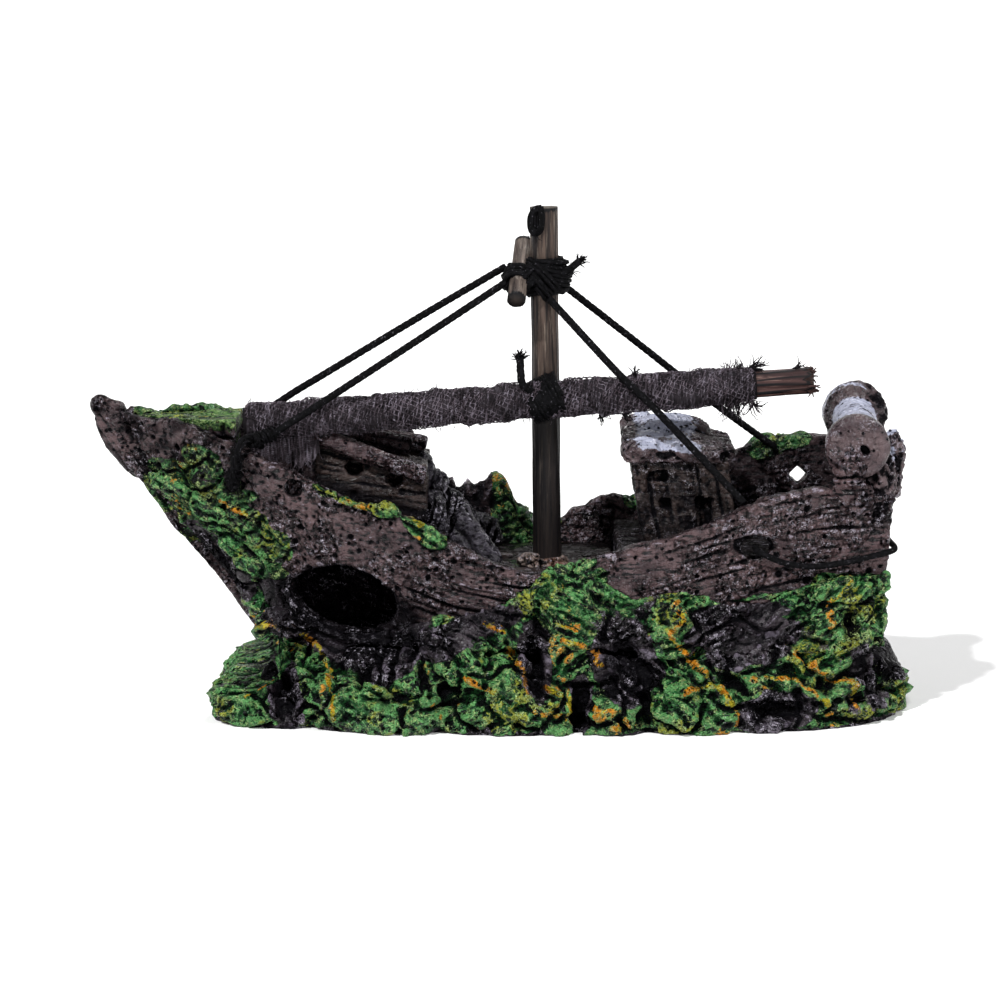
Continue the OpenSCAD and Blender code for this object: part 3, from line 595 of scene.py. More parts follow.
# lines of raised yellow and orange, (x, z) along each
NEAR_GOLD = (
    ((-66, 25), (-60, 27), (-55, 24)), ((-53, 22), (-47, 18), (-44, 12), (-43, 4)), ((-9, 15), (-2, 11.5)),
    ((1, 22), (6, 16), (7, 11)), ((11, 13), (17, 9), (18, 4)), ((9, 6.5), (15, 5)), ((24.5, 7), (29, 6.5), (31, 2)),
    ((45, 34), (46.4, 29.5), (43.6, 26)), ((44, 25), (49, 20), (54, 15), (55, 13)),
    ((48, 12), (54, 13.5), (57, 12), (60, 7), (60.5, 3)), ((69, 14), (76, 14), (82, 10), (86, 6)),
    ((77, 20), (84, 15), (92, 12), (94, 5)), ((91, 38), (85.5, 33), (86, 27)), ((-72, 31), (-67, 24)),
    ((-37, 59.6), (-34, 58.8)), ((-29, 59), (-24, 57), (-20.5, 53.5)), ((-74, 57), (-66, 54)),
    ((16, 25), (23, 23), (26, 18)), ((15, 29), (20, 28)), ((-4, 28), (1, 26)), ((-66, 12), (-70, 8)))


def cut_depth(x, z):
    depth, dark = np.zeros(len(x)), np.zeros(len(x))
    for cx, cz, rx, rz, tilt, deep in NEAR_CUTS:
        inside = smooth(0.5, 1.3, patch(x, z, ((cx, cz, rx, rz, tilt),)))
        depth = np.maximum(depth, deep * inside)
        dark = np.maximum(dark, inside)
    return depth, dark


def line_mask(x, z, lines, width):
    best = np.full(len(x), 99.0)
    for line in lines:
        for (ax, az), (bx, bz) in zip(line[:-1], line[1:]):
            ux, uz = bx - ax, bz - az
            t = np.clip(((x - ax) * ux + (z - az) * uz) / (ux * ux + uz * uz), 0, 1)
            best = np.minimum(best, np.hypot(x - ax - t * ux, z - az - t * uz))
    return np.clip(1 - best / width, 0, 1)


def slant(degrees):
    """Turns points in the XZ plane, so that what is stretched along X falls at that angle towards the stern."""
    a = math.radians(degrees)
    return np.array([[math.cos(a), 0, math.sin(a)], [0, 1, 0], [-math.sin(a), 0, math.cos(a)]])


def rock_relief(p, seed, size=1.0):
    """Lumps parted by creases, with thin folded crests over them, in mm."""
    w = warped(p, 2.0, 7, seed)
    f1, f2, _ = cells(w * [0.8, 1, 1.1], 13 * size, seed)
    crease = 1 - smooth(0, 0.2, f2 - f1)
    turn = smooth(-0.3, 0.3, noise(p, 26, seed + 2))
    way = [ridged(w @ slant(a) * [0.3, 0.6, 1.3], 6.0 * size, 3, seed + 5) for a in (34, -26)]
    folds = way[0] * (1 - turn) + way[1] * turn
    return (2.2 * fbm(p, 15, 2, seed + 11) - 2.2 * crease + 3.3 * (folds - 0.42)
            + 0.5 * noise(p, 2.6, seed + 12) + 0.25 * noise(p, 1.3, seed + 13))


def worm_holes(p, seed, size=5.0, share=0.5, radius=0.75):
    """Small round pits, 1 at the middle."""
    f1, _, name = cells(p, size, seed)
    return (1 - smooth(0.55, 1.15, f1 * size / (radius * (0.6 + name)))) * (name > 1 - share)


def plank_relief(p, across, seed, pitch=4.4):
    """Seams between planks, broken here and there, and the grain along them; across is mm across the planks."""
    q = (across + 1.1 * noise(p, 32, seed) + 0.4 * noise(p, 9, seed + 1)) / pitch
    row = np.round(q)
    seam = np.exp(-(((q - row) * pitch) / 0.5) ** 2)
    at = np.stack([p[:, 0], row * 37.0, 0 * row], 1)
    seam *= smooth(-0.35, 0.3, noise(at, 17, seed + 2))
    along, deep = p[:, 0] / 24, p[:, 1] / 8
    grain = noise(np.stack([along, across / 0.85, deep], 1), 1.0, seed + 3)
    coarse = ridged(np.stack([along * 1.3, across / 2.0, deep], 1), 1.0, 2, seed + 4)
    return seam, 0.3 * grain + 0.55 * (coarse - 0.5)


def near_masks(p):
    """Moss, black and gold of the near side."""
    w = warped(p, 1.6, 6, 90)
    x, z = w[:, 0], w[:, 2]
    green = smooth(0.35, 0.85, patch(x, z, NEAR_GREEN))
    bare = smooth(0.3, 0.9, patch(x, z, NEAR_BARE))
    depth, dark = cut_depth(x, z)
    v = warped(p, 0.7, 3, 95)
    gold = line_mask(v[:, 0], v[:, 2], NEAR_GOLD, 3.0)
    return green, bare, depth, dark, gold


def reef_shape(seed, reef_moss=0.72):
    def shape(p, n):
        x, y, z = p.T
        near = smooth(8, -6, y)
        green, bare, depth, dark, gold = near_masks(p)
        lift = rock_relief(p, seed)
        holes = worm_holes(p, seed + 40, 6.5, 0.4, 1.0)
        # painted shade: faces turned down near the foot
        under = smooth(-0.5, -0.85, n[:, 2]) * smooth(13.5, 12, z)
        lift = lift - depth * near - 1.1 * holes + 0.8 * smooth(0.5, 0.9, gold) * near
        barrel = smooth(1.75, 1.35, mouth_ring(x, z)) * near
        rings = 1 - np.abs(np.sin(4.6 * mouth_ring(x, z) * math.pi))
        lift = lift * (1 - 0.6 * barrel) + barrel * (0.8 * rings - 0.2)
        # the foot under the bow stays low and narrow
        shift = np.zeros_like(p)
        shift[:, 0] = smooth(-56, -72, x) * (3 + 10 * smooth(7, 15, z) * smooth(38, 28, z))
        shift[:, 0] -= 4.5 * smooth(96, 103, x) * smooth(15, 19, z)
        shift[:, 2] = -2.5 * smooth(-66, -72, x) * smooth(9, 13, z) * smooth(20, 15, z)
        # painted shade: the rock tucked in under the hull
        inside = smooth(0.5, 3.5, hull_half(x, np.maximum(z, FOOT_Z)) - np.abs(y)) * smooth(8.5, 9.5, z)
        moss = np.clip(reef_moss + 0.35 * noise(p, 12, seed + 50) + green * near - 0.85 * bare * near
                       - 0.9 * barrel, 0, 1)
        # sheltered joins these painted shade places; there the rock is smoother, has no moss and goes black
        sheltered = np.clip(under + inside, 0, 1)
        black = (bare * near * (0.2 + 0.5 * smooth(-0.3, 0.3, noise(p, 5, seed + 51))) + 0.85 * dark * near
                 + 0.75 * barrel + 0.7 * holes + under + inside)
        return lift * (1 - 0.85 * sheltered), {"shift": shift, "moss": moss * (1 - sheltered), "gold": gold * near,
                                               "dark": np.clip(black, 0, 1)}
    return shape


def apron_shape(seed, side):
    base = reef_shape(seed, 0.62)

    def shape(p, n):
        lift, masks = base(p, n)
        # the rocks thin out to nothing at their crest, and lie flat against the planking
        inward = smooth(0.2, -0.5, n[:, 1] * side)
        masks["shift"] = 0
        return lift * (1 - 0.9 * inward) * 0.8, masks
    return shape


def side_shape(side, sheer, seed):
    def shape(p, n):
        x, y, z = p.T
        t = table(x, sheer) - z
        # the planks run in long easy curves, whatever the broken gunwale does
        near_by = np.arange(-28, 29, 4)
        fair = sum(table(x + d, sheer) for d in near_by) / len(near_by)
        inward = smooth(1.2, 3.6, hull_half(x, z) - np.abs(y)) * smooth(0.3, -0.3, n[:, 1] * side)
        seam, grain = plank_relief(p, fair - z, seed)
        holes = worm_holes(p, seed + 8, 5.2, 0.42, 0.8) + worm_holes(p, seed + 9, 2.7, 0.3, 0.42)
        lump = 0.9 * fbm(p, 12, 2, seed + 10)
        # forward the paint is pitted, aft and low down the planks show
        planked = np.clip(smooth(-22, 14, x + 6 * noise(p, 14, seed + 30)) + smooth(41, 34, z), 0.12, 1)
        pitted = 1 - planked
        scar = worm_holes(p, seed + 31, 3.4, 0.6, 0.62)
        worn = 0.25 + 0.9 * smooth(-0.35, 0.35, noise(p * (0.6, 1, 1), 15, seed + 42))
        wood = (lump + (0.3 + 0.9 * planked) * worn * grain - 0.95 * seam * planked * worn
                - 0.9 * np.clip(holes, 0, 1) + (0.16 + 0.2 * pitted) * noise(p, 1.4, seed + 12)
                + pitted * (0.8 * fbm(p, 3.6, 2, seed + 32) - 0.7 * scar))
        holes = np.maximum(holes, scar * pitted)
        # the gunwale is nibbled and rounded
        wood = wood - 0.8 * smooth(1.6, 0, t) * smooth(0.05, 0.5, noise(p, 4.5, seed + 13))
        if side < 0:
            green, bare, depth, dark, gold = near_masks(p)
            ring = mouth_ring(x, z)
            barrel = smooth(1.5, 1.15, ring + 0.12 * noise(p, 9, seed + 33))
            flutes = 1 - np.abs(np.sin(3.1 * (ring + 0.1 * noise(p, 12, seed + 34)) * math.pi))
            wood = wood * (1 - 0.45 * barrel) + barrel * (0.2 + 0.6 * flutes + 0.5 * noise(p, 4, seed + 35))
            moss = green * (1 - bare) * (1 - inward) * (1 - 0.8 * barrel)
            depth = depth * smooth(34, 28, z)
            scorched = smooth(93, 96, x + 3 * noise(p, 5, seed + 37)) * smooth(50, 55, z)
            wood = wood + scorched * 1.6 * (ridged(p, 4.0, 3, seed + 38) - 0.5)
            # the slot is a black spot of painted shade, with no hollow cut for it
            slot = smooth(2.7, 2.1, np.hypot(x + 54.3, z - 61.7))
            torn = smooth(1.15, 0.8, np.hypot((x - 66) / 5.6, (z - 47.8) / 3.0) + 0.12 * noise(p, 3, seed + 43))
            depth = depth + 1.4 * torn
            # dark: painted shade in the slot, the torn hollow and inside the mouth; darker also round the lower
            # barrel, low down, in the cuts, on scorched spots and towards the bow
            dark = (slot + torn + 0.8 * scorched * smooth(-0.4, 0.2, noise(p, 3, seed + 39))
                    + 0.75 * barrel * smooth(38, 26, z) + smooth(36, 29, z) * 0.45 + dark * 0.6
                    + 0.9 * smooth(1.06, 0.99, ring) + smooth(-58, -80, x + 8 * noise(p, 12, seed + 36))
                    * (0.28 + 0.5 * smooth(-0.15, 0.25, noise(p, 4.2, seed + 41))))
        else:
            gold = depth = np.zeros(len(p))
            broken = smooth(-50, -42, x) * smooth(12, 4, x) * smooth(38, 45, z)
            crag = ridged(p @ slant(10) / [4.5, 5, 10], 1.0, 2, seed + 40)
            wood = wood + broken * (3.2 * (crag - 0.45))
            dark = 0.8 * broken * smooth(0.75, 0.45, crag)
            ragged = noise(p, 10, seed + 20)
            along = np.maximum.reduce([smooth(-101, -96, x) * smooth(-60, -64, x),
                                       smooth(30, 38, x) * smooth(62, 52, x), smooth(88, 84, x) * smooth(66, 72, x),
                                       smooth(-4, 2, x) * smooth(22, 12, x)])
            moss = np.clip(smooth(5, 1.5, t + 2 * ragged) * along
                           + (1 - inward) * smooth(46, 36, z + 5 * ragged)
                           + smooth(-5, 0, x + 3 * ragged) * smooth(16, 10, x), 0, 1)
        mossy = rock_relief(p, seed + 60, 0.8)
        lift = wood * (1 - 0.6 * moss) + moss * (0.5 + 0.6 * mossy) - depth + 0.5 * smooth(0.5, 0.9, gold)
        lit = smooth(13, 17, x) * smooth(42, 36, x)
        shade = (0.7 + 0.25 * smooth(50, 42, z)) * (1 - 0.7 * moss) * (1 - 0.8 * lit)
        rise = -1.9 * smooth(-108, -103, x) * smooth(-86, -94, x)
        if side > 0:
            rise = (rise + 2.6 * np.exp(-((x + 1.5) / 2.2) ** 2) - 5.5 * smooth(1.5, 5, x) * smooth(16, 10, x)
                    + 3 * smooth(16, 21, x) * smooth(37, 31, x))
        shift = np.zeros_like(p)
        shift[:, 2] = rise * smooth(9, 1, t)
        return lift * (1 - 0.35 * inward), {
            "shift": shift, "moss": moss, "gold": gold * (moss > 0.2), "dark": np.clip(
                dark * (1 - 0.5 * moss * inward) + shade * inward + 0.9 * holes, 0, 1)}
    return shape


def deck_shape(seed, moss_amount=0.0, pitch=5.5, dark=0.55):
    def shape(p, n):
        seam, grain = plank_relief(p, p[:, 1], seed, pitch)
        lift = 0.5 * fbm(p, 11, 2, seed) + 0.7 * grain - 0.9 * seam - 0.7 * worm_holes(p, seed + 8)
        moss = np.clip(moss_amount + 0.5 * noise(p, 9, seed + 3), 0, 1) if moss_amount else np.zeros(len(p))
        # painted shade: faces turned down go black and lose their moss; dark darkens the whole deck evenly, and
        # seams are darker
        below = smooth(0.2, -0.3, n[:, 2])
        return lift, {"moss": moss * (1 - below), "gold": 0 * moss,
                      "dark": np.clip(dark + 0.5 * seam + below, 0, 1)}
    return shape


def timber_shape(seed, along, across, pitch, depth=1.0, moss_at=None, frost_at=None, dark=0.2):
    """Rough timber whose grain runs along one direction, with seams across another; both are unit vectors."""
    along, across = np.array(along, float), np.array(across, float)
    third = np.cross(along, across)

    def shape(p, n):
        q = np.stack([p @ along, p @ across, p @ third], 1)
        seam, grain = plank_relief(q, q[:, 1], seed, pitch)
        lift = depth * (0.6 * fbm(p, 8, 2, seed) + 0.9 * grain - 0.8 * seam
                        - 0.9 * worm_holes(p, seed + 8, 5, 0.35, 0.8) + 0.2 * noise(p, 1.3, seed + 5))
        moss = moss_at(p) if moss_at else np.zeros(len(p))
        frost = frost_at(p, n) if frost_at else np.zeros(len(p))
        return lift, {"moss": moss, "gold": 0 * moss, "frost": frost, "dark": dark + 0.3 * seam}
    return shape


# ---------------------------------------------------------------- camera, floor, light
make_camera()
bpy.context.scene.view_settings.view_transform = "Standard"
lamp("key", (-0.45, -0.65, 0.9), 3.4, 3)
lamp("fill", (0.7, -0.6, 0.6), 1.6, 12)
lamp("back", (0.1, 0.7, 0.9), 1.2, 16)


def make_world():
    """A white horizon under a dimmer dome, so that dark glossy paint stays dark."""
    w = bpy.data.worlds.new("studio")
    w.use_nodes = True
    t = w.node_tree
    split = t.nodes.new("ShaderNodeSeparateXYZ")
    t.links.new(t.nodes.new("ShaderNodeTexCoord").outputs["Generated"], split.inputs[0])
    dome = t.nodes.new("ShaderNodeMapRange")
    for key, value in (("From Min", 0.06), ("From Max", 0.35), ("To Min", 1.0), ("To Max", 0.2)):
        dome.inputs[key].default_value = value
    t.links.new(split.outputs["Z"], dome.inputs["Value"])
    t.links.new(dome.outputs[0], t.nodes["Background"].inputs["Strength"])
    t.nodes["Background"].inputs["Color"].default_value = (1, 1, 1, 1)
    bpy.context.scene.world = w


make_world()


def make_floor():
    size = 60000
    v = np.array([[-size, -size, 0], [size, -size, 0], [size, size, 0], [-size, size, 0]], float)
    v[:, 2] -= 0.02
    floor = bpy.data.objects.new("floor", make_mesh("floor", v, np.array([[0, 1, 2, 3]]), None, False))
    bpy.context.scene.collection.objects.link(floor)
    p = Paint("floor_paper", Roughness=0.9, Specular_IOR_Level=0.1)
    p.set("Base Color", p.mix(p.noise(400), (0.985, 0.985, 0.985, 1), (1, 1, 1, 1)))
    floor.data.materials.append(p.mat)


make_floor()


# ---------------------------------------------------------------- cords
def cord_paint():
    p = Paint("black_cord", Roughness=0.75, Specular_IOR_Level=0.06)
    # pale grey specks on the strands' crests, and black down between the strands
    specked = p.mix(p.range(p.noise(1.2, 4, 0.7), 0.4, 0.75), srgb(6, 6, 7), srgb(25, 24, 28))
    specked = p.mix(p.times(p.range(p.noise(0.8, 2, 0.7), 0.63, 0.68), p.range(p.mask("braid"), 0.3, 0.7)), specked,
                  srgb(84, 82, 88))
    p.set("Base Color", p.mix(p.range(p.mask("braid"), 0.35, 0.0), specked, srgb(8, 8, 10)))
    p.bump(p.noise(0.25, 3, 0.8), 0.15, 0.8)
    return p.mat


CORD = cord_paint()


def braid(path, d):
    """A round braid: strands cross in a herringbone; returns mesh arrays and how far each point stands out."""
    sides = 20
    lay = 2.1 * d

    def crossing(s, a):
        one = np.abs(np.sin(2 * a + s * 2 * math.pi / lay))
        two = np.abs(np.sin(2 * a - s * 2 * math.pi / lay))
        return np.maximum(one, two)

    def relief(s, a):
        return 0.13 * d * (crossing(s, a) - 0.8) + 0.012 * d * np.sin(9 * a + 31 * s)
    v, f = tube(path, d / 2, sides, relief)
    s = np.arange(len(path)) * np.linalg.norm(np.diff(path, axis=0), axis=1).mean()
    a = np.linspace(0, 2 * np.pi, sides, endpoint=False)
    height = crossing(s[:, None], a[None, :]).ravel()
    return v, f, np.concatenate([(height - 0.6) / 0.4, [0, 0]])


STAYS = {
    "forestay_near": ((1.5, -5.5, 114), (-20, -9.4, 100.2), (-44, -14, 85), (-52, -15.6, 80), (-57, -15.8, 76.8),
                      (-61, -15.6, 74)),
    "forestay_far": ((1.5, 2.5, 117.4), (-20, 0.6, 105), (-44, -1.6, 90.8), (-57, -2.6, 83), (-62.4, -3.2, 78.6),
                     (-64, -6.4, 72.4), (-63.4, -11, 71)),
    "aftstay_near": ((12.6, -4.8, 109.8), (30.7, -12.5, 90.9), (39.2, -16.2, 83.0), (49.5, -20.5, 72.6),
                     (63.3, -27.0, 58.6)),
    "aftstay_far": ((16.4, 3.0, 112.6), (37.7, 10.0, 95.4), (59.0, 18.0, 78.0), (78.6, 26.5, 63.0)),
    "stern_line": ((66.4, -27, 46.8), (66.6, -31.4, 46.8), (69, -32.2, 45.6), (74, -30.8, 43.4),
                   (81.5, -29.2, 42.2), (90, -27.6, 43), (98, -26.2, 44.6), (102.4, -24.2, 45.4),
                   (103.6, -20, 45.6), (103.6, -8, 45.2), (103.6, 8, 45.2), (103.6, 20, 45.8), (102.4, 24.2, 46),
                   (98, 26.4, 46), (92, 27.8, 46), (90, 27, 46), (90, 23, 46))}
STAY_D, LINE_D = 1.9, 1.6
for name, points in STAYS.items():
    d = LINE_D if name == "stern_line" else STAY_D
    line = spline(points, 0.22)
    v, f, height = braid(line, d)
    ob = put(name + "_cord", v, f, {"braid": height}, CORD, [name])


def winding(centre, axis, radii, turns, pitch, d, seed, start, wander, squash=(1, 1)):
    """A cord wound round an axis; radii gives the radius along the winding, and squash flattens it."""
    axis = np.array(axis, float) / np.linalg.norm(axis)
    a0 = np.cross(axis, [0, 0, 1.0] if abs(axis[2]) < 0.9 else [1.0, 0, 0])
    a0 /= np.linalg.norm(a0)
    a1 = np.cross(axis, a0)
    n = int(turns * 26)
    t = np.linspace(0, turns, n)
    rng = np.random.default_rng(seed)
    wob = np.convolve(rng.normal(0, 1, n + 12), np.ones(13) / 13, "valid")
    wob2 = np.convolve(rng.normal(0, 1, n + 12), np.ones(13) / 13, "valid")
    r = np.interp(t / turns, np.linspace(0, 1, len(radii)), radii) + wander * wob
    ang = 2 * np.pi * t + start
    x, y = np.cos(ang) * r * squash[0], np.sin(ang) * r * squash[1]
    path = (np.array(centre, float) + x[:, None] * a0 + y[:, None] * a1
            + (pitch * t + 1.2 * wander * wob2)[:, None] * axis)
    lay = 3.4 * d
    return tube(spline(path[::3], 0.4), d / 2, 6, lambda s, a: 0.09 * d * np.sin(3 * a + s * 2 * np.pi / lay))


def frayed(root, way, count, length, d, seed, spread_by=0.5, droop=0.0, sides=4):
    """Loose fibres fanning out from one point."""
    rng = np.random.default_rng(seed)
    parts = []
    for _ in range(count):
        heading = np.array(way, float) / np.linalg.norm(way) + rng.normal(0, spread_by, 3)
        heading /= np.linalg.norm(heading)
        n, p = 7, np.array(root, float) + rng.normal(0, 0.25, 3)
        line = [p.copy()]
        step = length * rng.uniform(0.45, 1.0) / n
        for _ in range(n):
            heading = heading + rng.normal(0, 0.22, 3) + [0, 0, -droop]
            heading /= np.linalg.norm(heading)
            p = p + heading * step
            line.append(p.copy())
        parts.append(tube(line, np.linspace(d / 2, d / 5, n + 1), sides))
    return parts


def knot_piece(name, parts, node):
    v, f = join(*parts)
    height = 0.5 + 0.5 * noise(v, 0.8, 3)
    return put(name, v, f, {"braid": height}, CORD, [node])


def fuzz(middle, radii, count, length, seed):
    """Short fibres standing out of a knot."""
    rng = np.random.default_rng(seed)
    out = []
    for _ in range(count):
        way = rng.normal(0, 1, 3)
        way /= np.linalg.norm(way)
        out += frayed(np.array(middle) + way * radii, way + rng.normal(0, 0.8, 3), 1, length, 0.24,
                      int(rng.integers(1 << 30)), 0.5)
    return out


# where the mast leaves the deck, how it leans towards the bow as it rises, and its length below and above there
MAST_X, MAST_Z, MAST_LEAN = 12.6, 37.5, math.radians(0.7)
MAST_BELOW, MAST_ABOVE = 11, 96
BOOM_A, BOOM_B = np.array((-68, -9.1, 77.0)), np.array((82.3, -9.1, 88.4))


def on_mast(z):
    return MAST_X - (z - MAST_Z) * math.tan(MAST_LEAN)


def masthead_knot():
    parts = []
    for k, (z, r, turns, lean) in enumerate(((110.4, 4.6, 9, 0.0), (111.2, 5.1, 8, 0.12), (111, 5.6, 7, -0.2),
                                             (112.4, 6.0, 5, 0.25))):
        parts.append(winding((on_mast(z), 0, z), (lean, 0.1 * lean, 1), (r, r + 0.4, r), turns, 1.05, 1.2, 20 + k,
                             k * 2.0, 0.4))
    # turns that cross over the peg and round the mast
    for k, (axis, r, squash) in enumerate((((0.75, 0.1, 0.66), 6.6, (1, 0.82)), ((-0.7, 0.1, 0.72), 6.4, (1, 0.85)),
                                           ((0.5, 0.5, 0.7), 6.8, (0.9, 0.85)), ((0.2, 0.1, 0.95), 6.9, (0.8, 1)),
                                           ((-0.2, 0.3, 0.93), 6.7, (0.8, 1)))):
        parts.append(winding((8.4, -1.2, 112.6), axis, (r, r + 0.3), 4.4, 1.1, 1.15, 40 + k, k * 1.1, 0.5, squash))
    parts.append(winding((4.2, -6.4, 113.4), (0.16, 0.8, 0.58), (3.2, 3.5), 4.2, 1.0, 1.2, 60, 0, 0.4))
    parts.append(tube(spline(((15.6, -4, 115.4), (18.6, -4.6, 117.6), (21, -4.4, 119.6)), 0.3), 1.0, 8))
    parts += frayed((20.6, -4.4, 119.4), (0.8, -0.1, 0.7), 34, 3.4, 0.5, 5, 0.5)
    parts += frayed((17.5, -4.4, 116.5), (1, -0.2, 0.6), 14, 4.0, 0.4, 6, 0.5)
    return parts + fuzz((9.4, -1, 115), (6.8, 6.4, 4.4), 220, 2.0, 7)


def masthead_loop():
    """Four strands side by side round the loop, three down its middle, and a frayed end."""
    loop = np.array(((10.8, -3.7, 133.9), (8.9, -3.7, 133.4), (7.5, -2.8, 131), (7.6, -2.9, 127.6),
                     (9, -3.8, 126.2), (10.9, -4.1, 127.4), (11.3, -4.1, 131), (10.9, -3.8, 133.8)))
    closer = (loop - loop.mean(0)) * (-0.16, 0, -0.1) + (0, -0.25, 0)
    strands = [tube(spline(loop + k * closer, 0.3), 0.42, 6) for k in range(4)]
    strands += [tube(spline(((8.6 + 0.7 * k, -3.6, 132.6), (8.4 + 0.7 * k, -4, 130), (8.7 + 0.6 * k, -3.8, 127.6)),
                            0.4), 0.36, 6) for k in range(3)]
    return strands + frayed((9.4, -4, 126.4), (-0.2, -0.2, -1), 10, 2.6, 0.24, 8, 0.5)


def boom_knot():
    x = 12.0
    slope = (BOOM_B - BOOM_A)[2] / (BOOM_B - BOOM_A)[0]
    cross = (x, -5.0, BOOM_A[2] + (x - BOOM_A[0]) * slope)
    parts = []
    for k, (axis, start, r, turns) in enumerate((((0.9, 0, 0.43), 0, 7.5, 11), ((0.93, 0, 0.36), 1.5, 7.7, 10),
                                                 ((0.88, 0, 0.48), 2.7, 7.9, 8), ((0.98, 0, 0.18), 2.0, 7.6, 6))):
        parts.append(winding(cross - np.array(axis) * turns * 0.42, axis, (r, r + 0.25), turns, 0.84, 1.05, 80 + k,
                             start, 0.35, (1.26, 0.66)))
    tail = spline(((8.0, -12.8, 86.0), (5.8, -13.8, 88.0), (5.3, -14.2, 91), (5.1, -14.0, 95)), 0.3)
    parts.append(tube(tail, 1.05, 8, lambda s, a: 0.12 * np.sin(3 * a + 2.4 * s)))
    for k, way in enumerate(((-0.7, 0, 1), (0.1, -0.2, 1), (0.9, 0, 0.9))):
        parts += frayed((5.1, -14.0, 94.6), way, 12, 3.4, 0.5, 9 + k, 0.22)
    return parts + fuzz((12, -6, 83.6), (4.6, 9, 3.6), 110, 1.5, 11)


def bow_knot():
    """Seven strands twisted together, four small windings, and fuzz over them."""
    bow = spline(((-60.6, -15.2, 74.6), (-64.4, -18.2, 74.2), (-67, -21.6, 74), (-69, -22, 70), (-70, -20.4, 64.6),
                  (-70.4, -18.4, 61.4), (-70.4, -13, 60.6)), 0.3)
    parts = []
    for k in range(7):
        turn = np.linspace(0, 2 * np.pi * (1.1 + 0.2 * k), len(bow)) + k * 0.9
        out = 0.3 + 0.1 * k
        parts.append(tube(bow + out * np.stack([np.cos(turn), np.sin(turn) * 0.7, np.sin(turn)], 1), 0.42, 6))
    for centre, axis, r, seed in (((-65.6, -19.6, 73.6), (1, 1.2, 0.1), (1.3, 1.9), 13),
                                  ((-62.6, -16.8, 74.0), (1, 0.6, 0.4), (1.3, 1.8), 14),
                                  ((-69.4, -20.6, 66.5), (0.2, 0.2, 1), (1.0, 1.4), 15),
                                  ((-70.4, -19.2, 61.6), (0.1, 0.3, 1), (1.2, 1.9), 16)):
        parts.append(winding(centre, axis, r, 4, 0.8, 0.85, seed, seed, 0.5))
    for k, middle in enumerate(((-64, -18.6, 74), (-68, -21.4, 71), (-70, -20, 65), (-70.4, -19.4, 61))):
        parts += fuzz(middle, (1.8, 1.6, 1.9), 60, 2.2, 17 + k)
    return parts


knot_piece("masthead_knot", masthead_knot(), "masthead_lashing")
knot_piece("masthead_loop_cord", masthead_loop(), "masthead_loop")
knot_piece("boom_knot", boom_knot(), "boom_lashing")
knot_piece("bow_knot", bow_knot(), "bow_lashing")

# ---------------------------------------------------------------- castings
WOOD = painted_resin("painted_planking")
ROCK = painted_resin("mossy_rock", wood=((60, 51, 58), (33, 28, 33), (130, 120, 136)), grain=(30, 30, 30),
                     grained=0.3)
MOSSY_WOOD = painted_resin("mossy_plank", green=((30, 66, 34), (74, 126, 56), (146, 186, 110)), rough=0.6)
DARK_WOOD = painted_resin("dark_plank", wood=((72, 56, 51), (42, 33, 32), (104, 90, 88)), pits=0.5, rough=0.45)
FROST = painted_resin("frosted_paint", wood=((98, 81, 83), (66, 53, 57), (152, 140, 152)), grain=(30, 30, 30),
                      frost=0.94, grained=0.4, rough=0.55)
STONE = painted_resin("dark_stone", wood=((72, 68, 78), (40, 37, 44), (176, 172, 186)), grain=(12, 60, 60),
                      pits=0.6)


def lobes(places):
    return [ellipsoid(c[:3], c[3:6], *c[6:]) for c in places]


# (x, y, z, three radii, tilt in XZ, turn in XY)
REEF_LOBES = (
    (-71, -25, 6, 8, 8, 8, 15, -20), (-64, -25, 17, 8, 5, 5, 40, -20), (-42, -32, 6, 9, 7, 8, 0, 0),
    (-32, -34, 7, 10, 7, 8, -10, 0), (-20, -35, 6, 8, 7, 7, 0, 0), (-11, -34, 19, 13, 5, 5, -32, 0),
    (-6, -36, 13, 13, 5, 4.4, -28, 0), (-2, -36, 6, 9, 6, 6, 0, 0), (10, -36.5, 5.6, 8, 6, 5.6, -10, 0),
    (17, -33, 22, 6, 5, 10, -10, 0), (30, -37.5, 4, 5.4, 5, 5, 0, 0), (42, -33, 22, 6, 5, 9, -20, 0),
    (51, -36, 11, 13, 5.5, 6, -30, 0), (46, -36, 5, 9, 6, 6, 0, 0), (57, -35, 5, 5, 5.5, 6, 0, 0),
    (72, -30, 17, 9, 4, 8, 0, 10), (86, -30.5, 8, 13, 5.5, 6, -20, 18), (95, -25.5, 5, 7, 6, 5.5, 0, 30),
    (83, -31, 14, 10, 4, 3.4, -28, 14), (91, -26, 24, 6, 4, 11, 0, 20), (104, -12, 6, 5, 7, 7, 0, 0),
    (-74, 10, 6, 5, 12, 8, 0, 0), (-68, 27, 8, 8, 7, 9, 0, 30), (-54, 31, 8, 9, 7, 9, 0, 0),
    (-40, 35, 7, 10, 6, 8, 0, 0), (-24, 34, 9, 9, 7, 10, 20, 0), (-8, 36, 7, 9, 6, 8, 0, 0),
    (8, 37, 8, 10, 6, 9, -10, 0), (22, 36, 14, 8, 5, 9, 0, 0), (34, 35, 7, 7, 6, 8, 0, 0),
    (64, 34, 8, 8, 5, 9, 10, 0), (78, 31, 9, 9, 6, 10, 0, -20), (92, 25, 8, 8, 7, 9, 0, -35),
    (103, 8, 7, 5, 10, 8, 0, 0))
PORT_LOBES = (
    (-60, -23.5, 26, 6, 4, 4, 30, -20), (17, -35.5, 36, 10, 3.4, 8, 10, 0), (19, -34.5, 27, 7, 4, 5, 0, 0),
    (43, -34.5, 29, 7, 3.4, 7, -20, 0), (88, -28.5, 35, 9, 3, 4, 5, 14), (84, -29, 30, 5, 3, 7, 0, 14),
    (-10, -34.5, 25, 9, 3.2, 4, -30, 0))
